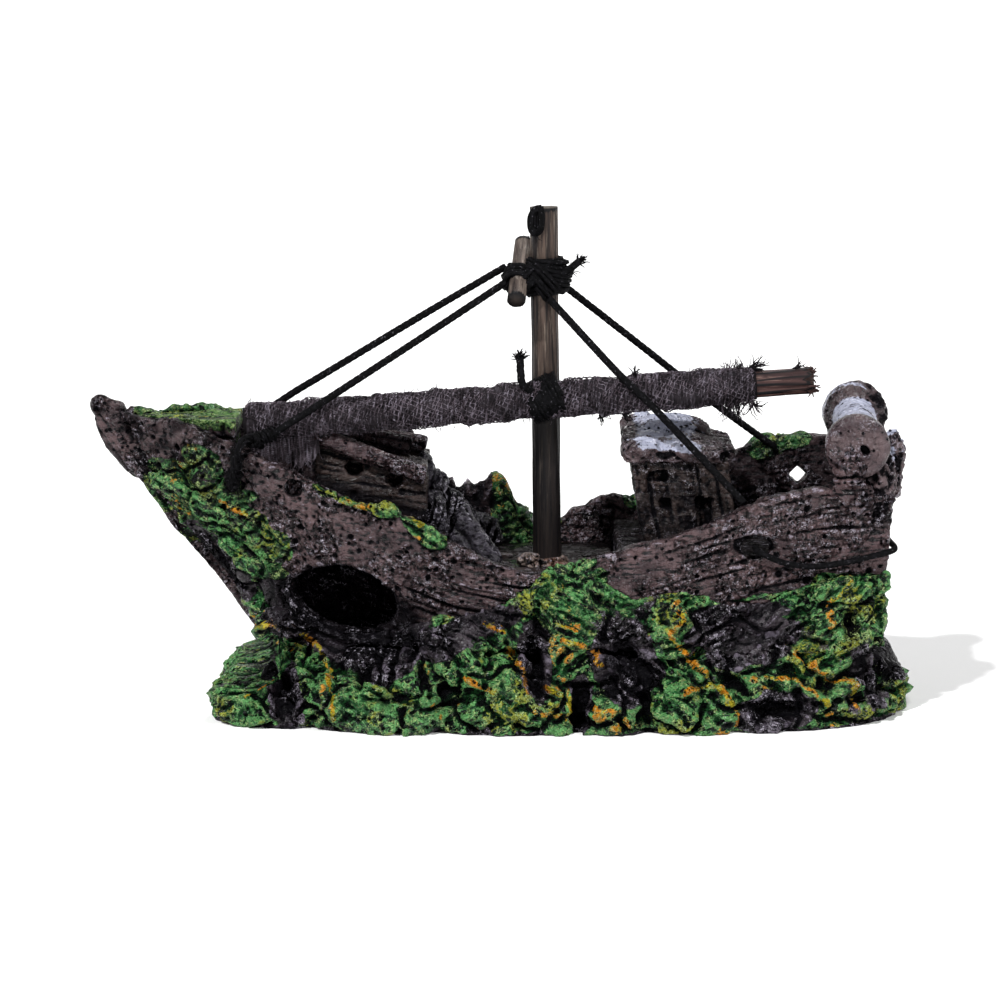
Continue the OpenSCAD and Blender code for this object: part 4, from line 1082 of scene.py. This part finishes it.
STARBOARD_LOBES = (
    (-50, 29, 30, 9, 3, 7, 0, 0), (-30, 33, 32, 9, 3.4, 6, 20, 0), (-4, 36, 34, 12, 3.2, 7, -10, 0),
    (22, 36, 34, 8, 3, 6, 0, 0), (52, 33, 32, 9, 3, 6, 10, 0), (80, 27.5, 32, 9, 3, 6, 0, -14))

sculpt("reef_base_rock", "reef_base", reef_shape(100), ROCK, lobes(REEF_LOBES), 95000, 0.62)
sculpt("reef_port_rock", "reef_apron_port", apron_shape(200, -1), ROCK, lobes(PORT_LOBES), 70000, 0.5)
sculpt("reef_starboard_rock", "reef_apron_starboard", apron_shape(300, 1), ROCK,
       lobes(STARBOARD_LOBES), 60000, 0.6)
sculpt("port_planking", "port_side", side_shape(-1, PORT_SHEER, 400), WOOD,
       [ellipsoid((91, -26.5, 66), (4.6, 3.6, 6)), ellipsoid((92, -26, 60), (6, 3.4, 5))], 95000, 0.5)
sculpt("starboard_planking", "starboard_side", side_shape(1, STARBOARD_SHEER, 500), WOOD,
       (), 70000, 0.6)


def stem_moss(p):
    return 0.9 * smooth(65, 59, p[:, 2]) * smooth(0.55, 0.3, np.abs(noise(p, 9, 5))) * smooth(36, 44, p[:, 2])


def stem_shape(p, n):
    lift, masks = timber_shape(600, (0.6, 0, -0.8), (0.8, 0, 0.6), 4, 0.8, stem_moss, dark=0.25)(p, n)
    # painted shade: the eye is a small dip painted black
    eye = np.linalg.norm(p - np.array((-108.1, -2.6, 79.5)), axis=1)
    masks["dark"] = np.maximum(0.97 * smooth(1.5, 0.9, eye), 0.15 + 0.55 * smooth(-0.15, 0.25, noise(p, 4.2, 602)))
    return lift * (1 - 0.6 * smooth(77, 80, p[:, 2])) - 0.8 * smooth(1.3, 0.5, eye), masks


def small_knob(v):
    """The head of the stem drawn in to a small round knob, a little higher."""
    head = ((v[:, 0] < -101) & (v[:, 2] > 76.5)) | (v[:, 0] < -104.5)
    return np.where(head[:, None], np.array((-107.0, 0, 80.6)) + 0.56 * (v - np.array((-105, 0, 78.6))), v)


sculpt("stem", "stem_post", stem_shape, WOOD,
       [ellipsoid((-107, 0, 80.6), (2.9, 2.9, 2.9)), ellipsoid((-103.4, 0, 74.4), (4.0, 3.6, 6.4), 24),
        ellipsoid((-101.8, 0, 69.6), (3.5, 3.5, 11), 34)],
       16000, 0.45, reform=small_knob)
sculpt("transom_planks", "transom", timber_shape(610, (0, 1, 0), (0, 0, 1), 5), WOOD, (), 20000, 0.6)


def stern_shape(p, n):
    lift, masks = timber_shape(620, (0, 0, 1), (0, 1, 0), 3.5, 0.8)(p, n)
    rugged = ridged(p, 4.0, 3, 621)
    masks["frost"] = smooth(64, 71, p[:, 2]) * smooth(0.3, 0.6, rugged) * smooth(-0.2, 0.4, noise(p, 5, 8) + 0.25)
    masks["dark"] = np.clip(0.95 * smooth(0.62, 0.4, rugged) + 0.1, 0, 1)
    return lift + 1.9 * (rugged - 0.5), masks


sculpt("stern_timber", "stern_post", stern_shape, FROST,
       [ellipsoid((100.6, -15, 63), (4, 7, 6)), ellipsoid((99.5, -21, 64), (3.6, 5, 9)),
        ellipsoid((101, -10, 70), (3.6, 3, 4))], 14000, 0.42)
sculpt("forecastle_planks", "forecastle_deck", deck_shape(630, 0.9, 4.2, 0.0), MOSSY_WOOD, (), 20000, 0.5)
sculpt("fore_planks", "fore_deck", deck_shape(640, dark=0.85), DARK_WOOD, (), 20000, 0.6)
sculpt("main_planks", "main_deck", deck_shape(650, 0.25), DARK_WOOD, (), 24000, 0.6)
sculpt("aft_planks", "aft_deck", deck_shape(660, dark=0.85), DARK_WOOD, (), 24000, 0.6)


def fore_cabin_shape(p, n):
    lift, masks = timber_shape(700, (0.98, 0, -0.21), (0.21, 0, 0.98), 5.2, 0.9, dark=0.15)(p, n)
    # painted shadow: the wall goes black below a line falling aft, where the bulwark shades its foot
    low = 61.8 - 0.316 * (p[:, 0] + 47.3) + noise(p, 6, 701) - p[:, 2]
    masks["dark"] = masks["dark"] + 0.8 * smooth(-1.5, 1, low)
    return lift, masks


sculpt("fore_cabin_timbers", "fore_cabin", fore_cabin_shape, DARK_WOOD, (), 30000, 0.5)


def log_shape(p, n):
    lift, masks = timber_shape(710, (0.98, 0, -0.21), (0, 1, 0), 3.3, 0.6, dark=0.0)(p, n)
    masks["dark"] = masks["dark"] + 0.65 * smooth(-4, 0, p[:, 1])
    return lift, masks


def slipped(v):
    """The near log has slipped down across the face of the cabin."""
    near = smooth(-1, -2.2, v[:, 1])
    return v - np.stack([0 * near, 3.6 * near, near * (0.8 + 0.2 * np.clip(v[:, 0] + 44, 0, None))], 1)


sculpt("fore_cabin_logs", "fore_cabin_roof", log_shape, WOOD, (), 24000, 0.45, reform=slipped)
ROCK_LUMPS = ((-20, 4, 63, 2.4, 4, 4.4, 10), (-17.6, 5, 57, 3.4, 4.4, 5, -15), (-14, 5, 51.5, 4.4, 5, 5.4, -20),
              (-18, -1, 50, 4.2, 5, 8, 0), (-10, 9, 48, 4, 4, 5, 20))
sculpt("rocks", "rock_stack", timber_shape(720, (0.3, 0.2, 0.93), (0.9, 0.3, -0.3), 2.6, 1.5, dark=0.0), STONE,
       lobes(ROCK_LUMPS), 26000, 0.45)


def splintered(v):
    """The broken plank's end, higher and narrower than its solid."""
    return v.mean(0) + (v - v.mean(0)) * (0.85, 1.15, 1.7) + (0.4, 0, 0.8)


sculpt("broken_plank_end", "broken_plank",
       timber_shape(730, (0.8, -0.27, -0.53), (0.1, 0.95, -0.2), 2.0, 0.9, dark=0.0), STONE, (), 10000, 0.4,
       reform=splintered)


def cabin_shape(p, n):
    lift, masks = timber_shape(740, (0.2, 0.2, 0.96), (0.98, 0, 0.2), 4.6, 0.8, dark=0.3)(p, n)
    crags = ridged(warped(p, 1.5, 6, 741), 7, 3, 742)
    # darker in the crags' hollows and low down; faces turned to the bow get painted shade
    masks["dark"] = (masks["dark"] + 0.4 * smooth(0.5, 0.3, crags) + 0.35 * smooth(56, 48, p[:, 2])
                     + 0.5 * smooth(-0.3, -0.8, n[:, 0]))
    return lift + 0.8 * (crags - 0.5) + 0.5 * fbm(p, 3.5, 2, 743), masks


def sagged(v):
    """The cabin leans in at its forward foot, and its far after corner has sunk."""
    x, y, z = v.T
    aft, high = smooth(50, 64, x), smooth(56, 68, z)
    leaning = 4.4 * np.clip((62 - z) / 16, 0, 1) * smooth(48, 36, x) - 2 * aft * high
    return v + np.stack([leaning, 0 * x, -6.5 * (aft * smooth(-8, 12, y) * high)], 1)


sculpt("aft_cabin_timbers", "aft_cabin", cabin_shape, DARK_WOOD, (), 36000, 0.5, reform=sagged)

# (x, z, half width, half height)
ROOF_HOLES = ((43.4, 68.9, 2.3, 1.3), (35.3, 74.6, 1.2, 1.6), (59.4, 68.4, 1.4, 1.4))


# white paint brushed over the roof, laid most on faces turned up: partly painted highlight from above
def roof_frost_and_highlight(p, n):
    brushed = smooth(34, 39, p[:, 0]) * smooth(56, 50, p[:, 0])
    return smooth(-0.2, 0.5, n[:, 2] + 0.5 * noise(p, 6, 3)) * (0.15 + 0.7 * brushed + 0.45 * noise(p, 7, 4))


def roof_shape(p, n):
    lift, masks = timber_shape(750, (0.9, 0.4, 0), (-0.4, 0.9, 0), 6, 1.2, frost_at=roof_frost_and_highlight)(p, n)
    torn = sum(smooth(1.2, 0.8, np.hypot((p[:, 0] - x) / rx, (p[:, 2] - z) / rz)) for x, z, rx, rz in ROOF_HOLES)
    torn = torn * smooth(0, -4, p[:, 1])
    after = smooth(49, 57, p[:, 0] + noise(p, 5, 751))
    # painted shade: the torn holes are black; the after end is darker
    masks["dark"] = torn + 0.55 * after
    masks["frost"] = masks["frost"] * (1 - after) * (1 - torn)
    return lift - 0.8 * torn, masks


sculpt("aft_cabin_top", "aft_cabin_roof", roof_shape, FROST,
       [ellipsoid((38, -9, 70), (6, 5, 3)), ellipsoid((46, 9, 73), (11, 8, 3.8)),
        ellipsoid((50, -10, 69.4), (9, 4, 2.6))], 26000, 0.5, reform=sagged)

DRUM_NEAR, DRUM_FAR = np.array((92.4, -27.5, 73.1)), np.array((98.9, 23, 75))


def drum_shape(p, n):
    """A plain brown near end, a brushed white waist with rings round it, and a rugged far knob."""
    axis = DRUM_FAR - DRUM_NEAR
    length = np.linalg.norm(axis)
    axis = axis / length
    s = (p - DRUM_NEAR) @ axis
    facing = n @ axis
    waist = smooth(6.5, 8.5, s) * smooth(length - 10.5, length - 13, s)
    knob = smooth(length - 12, length - 10, s)
    q = np.stack([s / 1.1, p[:, 0] / 12, p[:, 2] / 12], 1)
    rings = ridged(q, 1.0, 2, 761)
    lump = fbm(p, 7, 3, 762)
    rugged = knob * smooth(98.5, 103, p[:, 0])
    lift = (0.35 * lump + waist * 0.55 * (rings - 0.5) + 0.5 * knob * lump + rugged * 1.3 * ridged(p, 3.4, 2, 763)
            - 0.6 * rugged - 0.6 * worm_holes(p, 764, 4.4, 0.3, 0.6) + 0.12 * noise(p, 1.2, 765))
    frost = (waist * (0.95 - 0.7 * smooth(0.62, 0.9, rings) * smooth(-0.2, 0.4, noise(p, 5, 766)))
             + knob * smooth(-0.2, 0.25, facing + 0.3) * (0.66 + 0.3 * noise(p, 5, 767)) * (1 - rugged))
    # the knob's shoulder towards the near end is darker, the rugged knob dark in patches, and the waist's underside
    # has painted shade
    dark = (0.45 * knob * smooth(0.1, -0.5, facing) + 0.85 * rugged * smooth(-0.3, 0.2, noise(p, 3, 768))
            + 0.35 * waist * smooth(0.0, -0.6, n[:, 2]))
    # the far knob sits up and forward of the near disc, whose hole is off its middle
    shift = (smooth(5, length - 8, s) * np.array([[-1.3], [0], [0.7]])
             + smooth(6.5, 1.5, np.linalg.norm((p - DRUM_NEAR)[:, ::2], axis=1)) * smooth(6, 4, s)
             * np.array([[3.2], [0], [-2.4]])).T
    return lift, {"shift": shift, "moss": 0 * s, "gold": 0 * s, "frost": frost, "dark": np.clip(dark, 0, 1)}


sculpt("windlass", "windlass_drum", drum_shape, FROST, (), 40000, 0.42)
for side in ("port", "starboard"):
    sculpt("windlass_support_" + side, "windlass_post_" + side, timber_shape(770, (0, 0, 1), (1, 0, 0), 3, 1.0),
           WOOD, (), 10000, 0.5)


# ---------------------------------------------------------------- mast, peg and boom
def stick_paint(name, dark, light, streak, grain_dir, bare=None):
    """Stained stick: long grain, dark streaks and a little wear."""
    p = Paint(name, Roughness=0.5, Specular_IOR_Level=0.15)
    long_grain = p.noise(0.9, 5, 0.7, p.stretched(*grain_dir))
    broad = p.noise(3.2, 3, 0.6, p.stretched(*grain_dir))
    colour = p.mix(p.range(broad, 0.38, 0.62), srgb(*dark), srgb(*light))
    colour = p.mix(p.times(p.range(long_grain, 0.52, 0.7), 0.7), colour, srgb(*streak))
    colour = p.mix(p.times(p.range(long_grain, 0.46, 0.3), 0.85), colour, BLACK)
    colour = p.mix(p.range(p.mask("near"), -0.01, -0.12), colour, BLACK)
    colour = p.mix(p.mask("dark"), colour, BLACK)
    colour = p.mix(p.mask("tip"), colour, srgb(*(bare or streak)))
    p.set("Base Color", colour)
    p.bump(long_grain, 0.25, 0.7)
    p.bump(p.noise(0.4, 3, 0.7), 0.12, 0.6)
    return p.mat


MAST_WOOD = stick_paint("mast_wood", (40, 33, 32), (94, 79, 71), (170, 154, 140), (1, 1, 0.06), (120, 112, 104))
PEG_WOOD = stick_paint("peg_wood", (70, 60, 56), (118, 106, 98), (172, 162, 154), (1, 0.12, 0.3), (58, 50, 46))
BOOM_WOOD = stick_paint("boom_wood", (56, 38, 38), (88, 62, 58), (140, 112, 104), (0.06, 1, 1), (60, 38, 32))


def stick(name, start, end, radius, node, material, seed, flutes=9, depth=0.18, jagged=(0.0, 0.0), dark_foot=0):
    """A split or planed stick: shallow flutes along it, and ends that may be broken."""
    start, end = np.array(start, float), np.array(end, float)
    length = np.linalg.norm(end - start)
    n, sides = int(length / 0.45), 64
    line = start + np.linspace(0, 1, n)[:, None] * (end - start)

    def relief(s, a):
        q = np.stack([np.cos(a).ravel() * 2.2, np.sin(a).ravel() * 2.2, s.ravel() / 22], 1)
        long_lumps = noise(q, 1.0, seed).reshape(a.shape)
        fine = noise(q * [2.6, 2.6, 1.5], 1.0, seed + 1).reshape(a.shape)
        return depth * (1.3 * long_lumps + 0.9 * fine - 0.5 * np.abs(np.sin(flutes * a / 2)) ** 8) - depth
    v, f = tube(line, radius, sides, relief)
    way = (end - start) / length
    s = (v - start) @ way
    out = v - start - s[:, None] * way
    ragged = np.abs(noise(out + 7, 1.1, seed + 3)) + 0.5 * np.abs(noise(out, 0.45, seed + 4))
    for which, amount, towards in ((1, jagged[1], -1), (0, jagged[0], 1)):
        if amount:
            near_end = smooth(amount * 2.2, 0, np.abs(s - (length if which else 0)))
            v += (way * towards)[None, :] * (near_end * ragged * amount)[:, None]
    pairs = edge_pairs(f)
    masks = relief_masks(v, f, pairs)
    end_cap = np.zeros(len(v))
    end_cap[-2:] = 1
    masks["tip"] = np.maximum(end_cap, smooth(0.25, 0, length - s) * 0.6)
    masks["dark"] = 0.86 * smooth(dark_foot + 5, dark_foot - 3, s) if dark_foot else 0 * s
    return put(name, v, f, masks, material, [node])


mast_foot = (MAST_X + MAST_BELOW * math.sin(MAST_LEAN), 0, MAST_Z - MAST_BELOW)
mast_head = (MAST_X - MAST_ABOVE * math.sin(MAST_LEAN), 0, MAST_Z + MAST_ABOVE * math.cos(MAST_LEAN))
stick("mast_stick", mast_foot, mast_head, 3.86, "mast", MAST_WOOD, 900, 8, 0.16, (0, 0.15), 60)
stick("yard_peg_stick", (4.1, -12, 109.8), (6.3, 7, 123.4), 2.6, "yard_peg", PEG_WOOD, 910, 7, 0.12, (0.3, 0.3))
stick("boom_stick", BOOM_A, BOOM_B + [0.6, 0, 0], 3.9, "boom", BOOM_WOOD, 920, 11, 0.3, (0.5, 3.4))


def wedge_shape(p, n):
    lift = 0.45 * fbm(p, 3.2, 2, 33)
    return lift, {"moss": 0 * lift, "gold": smooth(39.2, 38.2, p[:, 2]) * 0.62, "dark": 0 * lift + 0.1}


PEBBLE = painted_resin("pale_pebble", wood=((158, 142, 134), (120, 84, 70), (196, 186, 180)), grain=(30, 30, 30),
                       pits=0.0)
sculpt("mast_wedge_pebble", "mast_wedge", wedge_shape, PEBBLE, [ellipsoid((7.4, -5.6, 39.4), (3.4, 2.2, 2.0), 15)],
       8000, 0.4)


def coat(node, material):
    """Gives a solid that is shown as it is its paint."""
    NODES[node].data.materials.clear()
    NODES[node].data.materials.append(material)


coat("mast_step", WOOD)


# ---------------------------------------------------------------- gauze
def gauze_paint():
    p = Paint("gauze", Roughness=0.9, Specular_IOR_Level=0.12)
    tone = p.noise(5, 4, 0.65)
    colour = p.mix(p.range(tone, 0.35, 0.68), srgb(66, 57, 63), srgb(108, 97, 106))
    colour = p.mix(p.times(p.range(p.noise(1.1, 3, 0.7), 0.5, 0.7), 0.5), colour, srgb(156, 150, 162))
    hatch = p.noise(1.0, 4, 0.75, p.stretched(1.9, 0.22, 0.22))
    colour = p.mix(p.times(p.range(hatch, 0.5, 0.4), 0.85), colour, srgb(24, 21, 25))
    colour = p.mix(p.times(p.range(hatch, 0.53, 0.63), 0.7), colour, srgb(166, 157, 172))
    colour = p.mix(p.times(p.range(p.mask("warm"), 0.3, 0.8), 0.6), colour, srgb(112, 74, 60))
    # dark: the shell's painted shade under the threads, and the darker fibres, curls and flap
    colour = p.mix(p.mask("dark"), colour, srgb(22, 19, 22))
    p.set("Base Color", colour)
    p.bump(p.noise(0.22, 3, 0.8), 0.12, 0.9)
    p.bump(hatch, 0.5, 0.8)
    return p.mat


GAUZE = gauze_paint()
# the strip's width, its advance in one turn and the length of boom that it covers, and the radii it lies between
STRIP_WIDTH, TURN_BY, WRAP_LEN = 18.0, 17.0, 136.0
WRAP_R, WOUND_R, LINING_R = 5.2, 5.1, 4.02
THREAD_GAP, WEFT_GAP, THREAD_STEP = 0.8, 1.25, 0.62
boom_way = (BOOM_B - BOOM_A) / np.linalg.norm(BOOM_B - BOOM_A)
boom_side = np.array((0, 1.0, 0))
boom_up = np.cross(boom_way, boom_side)


def wrap_radius(s, a):
    """Outer radius of the wound gauze: the edges of its turns stand up as slanted steps, with wrinkles between."""
    turn = (s + a / (2 * math.pi) * TURN_BY + 1.2 * np.sin(s / 9.0 + 2 * np.sin(s / 31))) / TURN_BY
    k = turn - np.floor(turn)
    step = smooth(0, 0.1, k) * (1 - smooth(0.1, 1.0, k) * 0.9)
    q = np.stack([s.ravel() / 7 + a.ravel() * 0.35, np.cos(a).ravel() * 1.3, np.sin(a).ravel() * 1.3], 1)
    folds = ridged(q, 1.0, 2, 77).reshape(s.shape)
    lump = noise(q * 0.5, 1.0, 78).reshape(s.shape)
    ends = smooth(0, 3, s) * smooth(WRAP_LEN, WRAP_LEN - 2.5, s)
    edge = np.exp(-((k - 0.07) / 0.045) ** 2)
    return WRAP_R - 0.75 + ends * (0.55 * step + 0.45 * edge + 0.6 * (folds - 0.4) + 0.35 * lump) - 0.3 * (1 - ends)


def on_boom(s, a, r):
    return (BOOM_A + s[..., None] * boom_way + (np.cos(a) * r)[..., None] * boom_up
            + (np.sin(a) * r)[..., None] * boom_side)


def even(v, **masks):
    """Masks that are the same at every point."""
    return {key: np.full(len(v), value) for key, value in masks.items()}


def boom_splinters():
    rng = np.random.default_rng(31)
    parts = []
    for _ in range(30):
        a, r = rng.uniform(0, 2 * np.pi), rng.uniform(1.4, 3.5)
        root = BOOM_B - 1.4 * boom_way + r * (math.cos(a) * boom_up + math.sin(a) * boom_side)
        parts += frayed(root, boom_way, 1, 4.0, 0.8, rng.integers(1 << 30), 0.12, 0, 5)
    return join(*parts)


v, f = boom_splinters()
put("boom_splinters", v, f, even(v, near=0.0, dark=0.3, tip=0.0), BOOM_WOOD)


def gauze_shell():
    n, m = 420, 96
    s = np.linspace(0.2, WRAP_LEN - 0.2, n)[:, None] + np.zeros(m)
    a = np.zeros((n, 1)) + np.linspace(0, 2 * np.pi, m, endpoint=False)
    outer = on_boom(s, a, wrap_radius(s, a) - 0.3).reshape(-1, 3)
    inner = on_boom(s, a, np.full_like(s, LINING_R)).reshape(-1, 3)
    i, j = np.meshgrid(np.arange(n - 1), np.arange(m), indexing="ij")
    p, q = (i * m + j).ravel(), (i * m + (j + 1) % m).ravel()
    outside = np.stack([p, q, q + m, p + m], 1)
    inside = outside[:, ::-1] + n * m
    k, k2 = np.arange(m), (np.arange(m) + 1) % m
    e = (n - 1) * m
    ends = np.concatenate([np.stack([k, k + n * m, k2 + n * m, k2], 1),
                           np.stack([e + k, e + k2, e + k2 + n * m, e + k + n * m], 1)])
    f = np.concatenate([outside, inside, ends])
    # painted shade: the shell's outer face is dark, for the shade seen between the threads of the open weave, and
    # its inner face is black
    dark = np.concatenate([np.full(n * m, 0.78), np.ones(n * m)])
    return np.concatenate([outer, inner]), f, {"dark": dark, "warm": 0 * dark}


def gauze_threads():
    """The open weave over the wound strip: threads along and across it, each passing over and under."""
    girth = 2 * math.pi * WOUND_R
    lean = math.atan2(TURN_BY, girth)
    total = (WRAP_LEN + STRIP_WIDTH) / TURN_BY * math.hypot(girth, TURN_BY)
    rng = np.random.default_rng(5)
    parts = []

    def lay(along, across, lift, radius):
        # the strip's own directions, turned onto the boom
        s = along * math.sin(lean) + across * math.cos(lean) - STRIP_WIDTH / 2
        a = (along * math.cos(lean) - across * math.sin(lean)) / WOUND_R
        keep = (s > 0.6) & (s < WRAP_LEN - 0.6)
        for c in np.split(np.arange(len(s)), np.where(np.diff(keep.astype(int)) != 0)[0] + 1):
            if keep[c[0]] and len(c) >= 4:
                r = wrap_radius(s[c][:, None], a[c][:, None])[:, 0] + lift[c]
                parts.append(tube(on_boom(s[c], a[c], r), radius, 4))

    def wander(at, length, knots):
        return np.interp(at, np.linspace(0, length, knots), rng.normal(0, 1, knots))

    for k in range(int(STRIP_WIDTH / THREAD_GAP)):
        along = np.arange(0, total, THREAD_STEP)
        across = (k + 0.5) * THREAD_GAP + 0.16 * wander(along, total, 500) + 0.5 * wander(along, total, 60)
        lay(along, across, 0.09 * np.sin(along / WEFT_GAP * math.pi + k * math.pi), 0.14)
    for k in range(int(total / WEFT_GAP)):
        across = np.arange(0, STRIP_WIDTH, THREAD_STEP)
        skew = 1.4 * math.sin(k * 0.11) + 0.2 * rng.normal()
        along = k * WEFT_GAP + skew * (across / STRIP_WIDTH - 0.5) + 0.12 * wander(across, STRIP_WIDTH, 26)
        lay(along, across, 0.09 * np.sin(across / THREAD_GAP * math.pi + (k + 1) * math.pi), 0.11)
    return join(*parts)


def gauze_frays():
    """Fine pale fibres all along, then thick dark curls and tufts towards the after end."""
    rng = np.random.default_rng(21)

    def rooted(s, a, r, scatter, *looks):
        s, a = np.array(s), np.array(a)
        root = on_boom(s, a, np.array(r))
        way = on_boom(s, a, np.array(r + 1)) - root
        if scatter:
            way = way + rng.normal(0, scatter, 3)
        length, d, spread_by, droop = looks
        return frayed(root, way, 1, length, d, rng.integers(1 << 30), spread_by, droop)

    fine = []
    for count, s_lo, s_hi, a_mid, a_by, length in ((46, 126, 136, 3.1, 0.8, 6.5), (30, 128, 136, 0.2, 0.7, 4.2),
                                                   (90, 2, 132, 3.1, 1.4, 2.2), (90, 2, 132, 0.0, 1.2, 1.7),
                                                   (18, 0, 4, 0.5, 2.5, 3.0)):
        for _ in range(count):
            fine += rooted(rng.uniform(s_lo, s_hi), rng.normal(a_mid, a_by), 5.0, 0.3, length, 0.26, 0.35, 0.06)
    rng = np.random.default_rng(77)
    thick = []
    for _ in range(44):
        thick += rooted(rng.uniform(127, 136), rng.normal(3.1, 0.6), 4.8, 0, 6.4, 0.5, 0.5, -0.1)
    for x, z, way, count, length in ((66, 91.4, (0.9, 0, 0.5), 26, 5.8), (62, 91.2, (0.8, 0, 0.5), 14, 4.0),
                                     (77.5, 91.2, (0.9, 0, 0.4), 14, 4.0), (35.4, 89.8, (0.2, 0, 1), 14, 3.2),
                                     (26.3, 79.2, (0.5, 0, -1), 12, 3.6), (32.6, 79.6, (1, 0, -0.8), 12, 4.2)):
        thick += frayed((x, -9.1, z), way, count, length, 0.44, int(x * 10), 0.2, 0)
    v, f = join(*fine, *thick)
    pale = np.arange(len(v)) < sum(len(part[0]) for part in fine)
    return v, f, {"dark": np.where(pale, 0.2, 0.95), "warm": 0 * v[:, 0]}


v, f, masks = gauze_shell()
wrap = put("gauze_wrap", v, f, masks, GAUZE, ["boom_wrap"])
v, f = gauze_threads()
tone = smooth(0.1, 0.7, noise(v, 14, 6)) * smooth(30, 5, v[:, 0] + 68)
threads = put("gauze_weave", v, f, {"dark": 0.45 * smooth(-0.1, 0.5, noise(v, 4, 61)), "warm": tone}, GAUZE)
v, f, masks = gauze_frays()
fray = put("gauze_frays", v, f, masks, GAUZE)


FLAP_ROWS, FLAP_COLS = 60, 34


def gauze_flap():
    """The loose end of the strip, hanging below the boom with a ragged lower edge."""
    n, m = FLAP_ROWS, FLAP_COLS
    s = np.linspace(1.5, 19.5, n)[:, None] + np.zeros(m)
    t = np.zeros((n, 1)) + np.linspace(0, 1, m)
    ragged = 7.6 * (0.75 + 0.25 * np.sin(s / 2.9) * np.cos(s / 5.1) + 0.1 * np.sin(s * 1.9))
    drop = WRAP_R - 0.6 + t * ragged
    fold = 0.7 * np.sin(s / 1.7 + 2 * t) * t + 0.5 * np.sin(s / 0.8) * t
    mid = BOOM_A + s[..., None] * boom_way - drop[..., None] * boom_up
    mid[..., 1] += fold - 1.0
    thick = 0.22
    front, back = mid.copy(), mid.copy()
    front[..., 1] -= thick
    back[..., 1] += thick
    i, j = np.meshgrid(np.arange(n - 1), np.arange(m - 1), indexing="ij")
    p = (i * m + j).ravel()
    face = np.stack([p, p + 1, p + m + 1, p + m], 1)
    rim = np.concatenate([np.arange(m), np.arange(1, n) * m + m - 1, (n - 1) * m + np.arange(m - 2, -1, -1),
                          np.arange(n - 2, 0, -1) * m])
    nxt = np.roll(rim, -1)
    f = np.concatenate([face, face[:, ::-1] + n * m, np.stack([nxt, rim, rim + n * m, nxt + n * m], 1)])
    return np.concatenate([front.reshape(-1, 3), back.reshape(-1, 3)]), f


def flap_threads(grid):
    """Every third line of the flap's grid as a thread, and a fibre at every second foot."""
    near = grid + [0, -0.12, 0]
    parts = [tube(line, 0.17, 4) for line in (*near[::3], *near[:, ::3].transpose(1, 0, 2))]
    for i in range(0, FLAP_ROWS, 2):
        parts += frayed(grid[i, -1], (0.1, 0, -1), 1, 3.0, 0.26, 900 + i, 0.4, 0.1)
    return join(*parts)


v, f = gauze_flap()
flap = put("gauze_hanging", v, f, even(v, dark=0.66, warm=0.0), GAUZE, ["gauze_drape"])
v, f = flap_threads(v[:FLAP_ROWS * FLAP_COLS].reshape(FLAP_ROWS, FLAP_COLS, 3))
flap_weave = put("gauze_hanging_weave", v, f, even(v, dark=0.25, warm=0.0), GAUZE)


# ---------------------------------------------------------------- air supply
def moulded(name, colour, rough, size, bump, transmission=0.0):
    p = Paint(name, Roughness=rough, Transmission_Weight=transmission, IOR=1.45)
    c = srgb(*colour)
    dim = tuple(DIM * k for k in c[:3]) + (1,)
    p.set("Base Color", p.mix(p.range(p.noise(size, 4, 0.65), 0.35, 0.65), dim, c))
    p.bump(p.noise(size * 0.3, 3, 0.7), bump, 0.7)
    return p.mat


coat("air_inlet", moulded("clear_plastic", (186, 196, 200), 0.25, 3, 0.05, 0.35))
coat("air_tube", moulded("airline", (206, 214, 214), 0.3, 5, 0.05, 0.5))
coat("air_stone", moulded("air_stone", (92, 128, 168), 0.95, 1.2, 0.5))
coat("stone_hanger", moulded("hanger_resin", (66, 54, 52), 0.5, 4, 0.3))
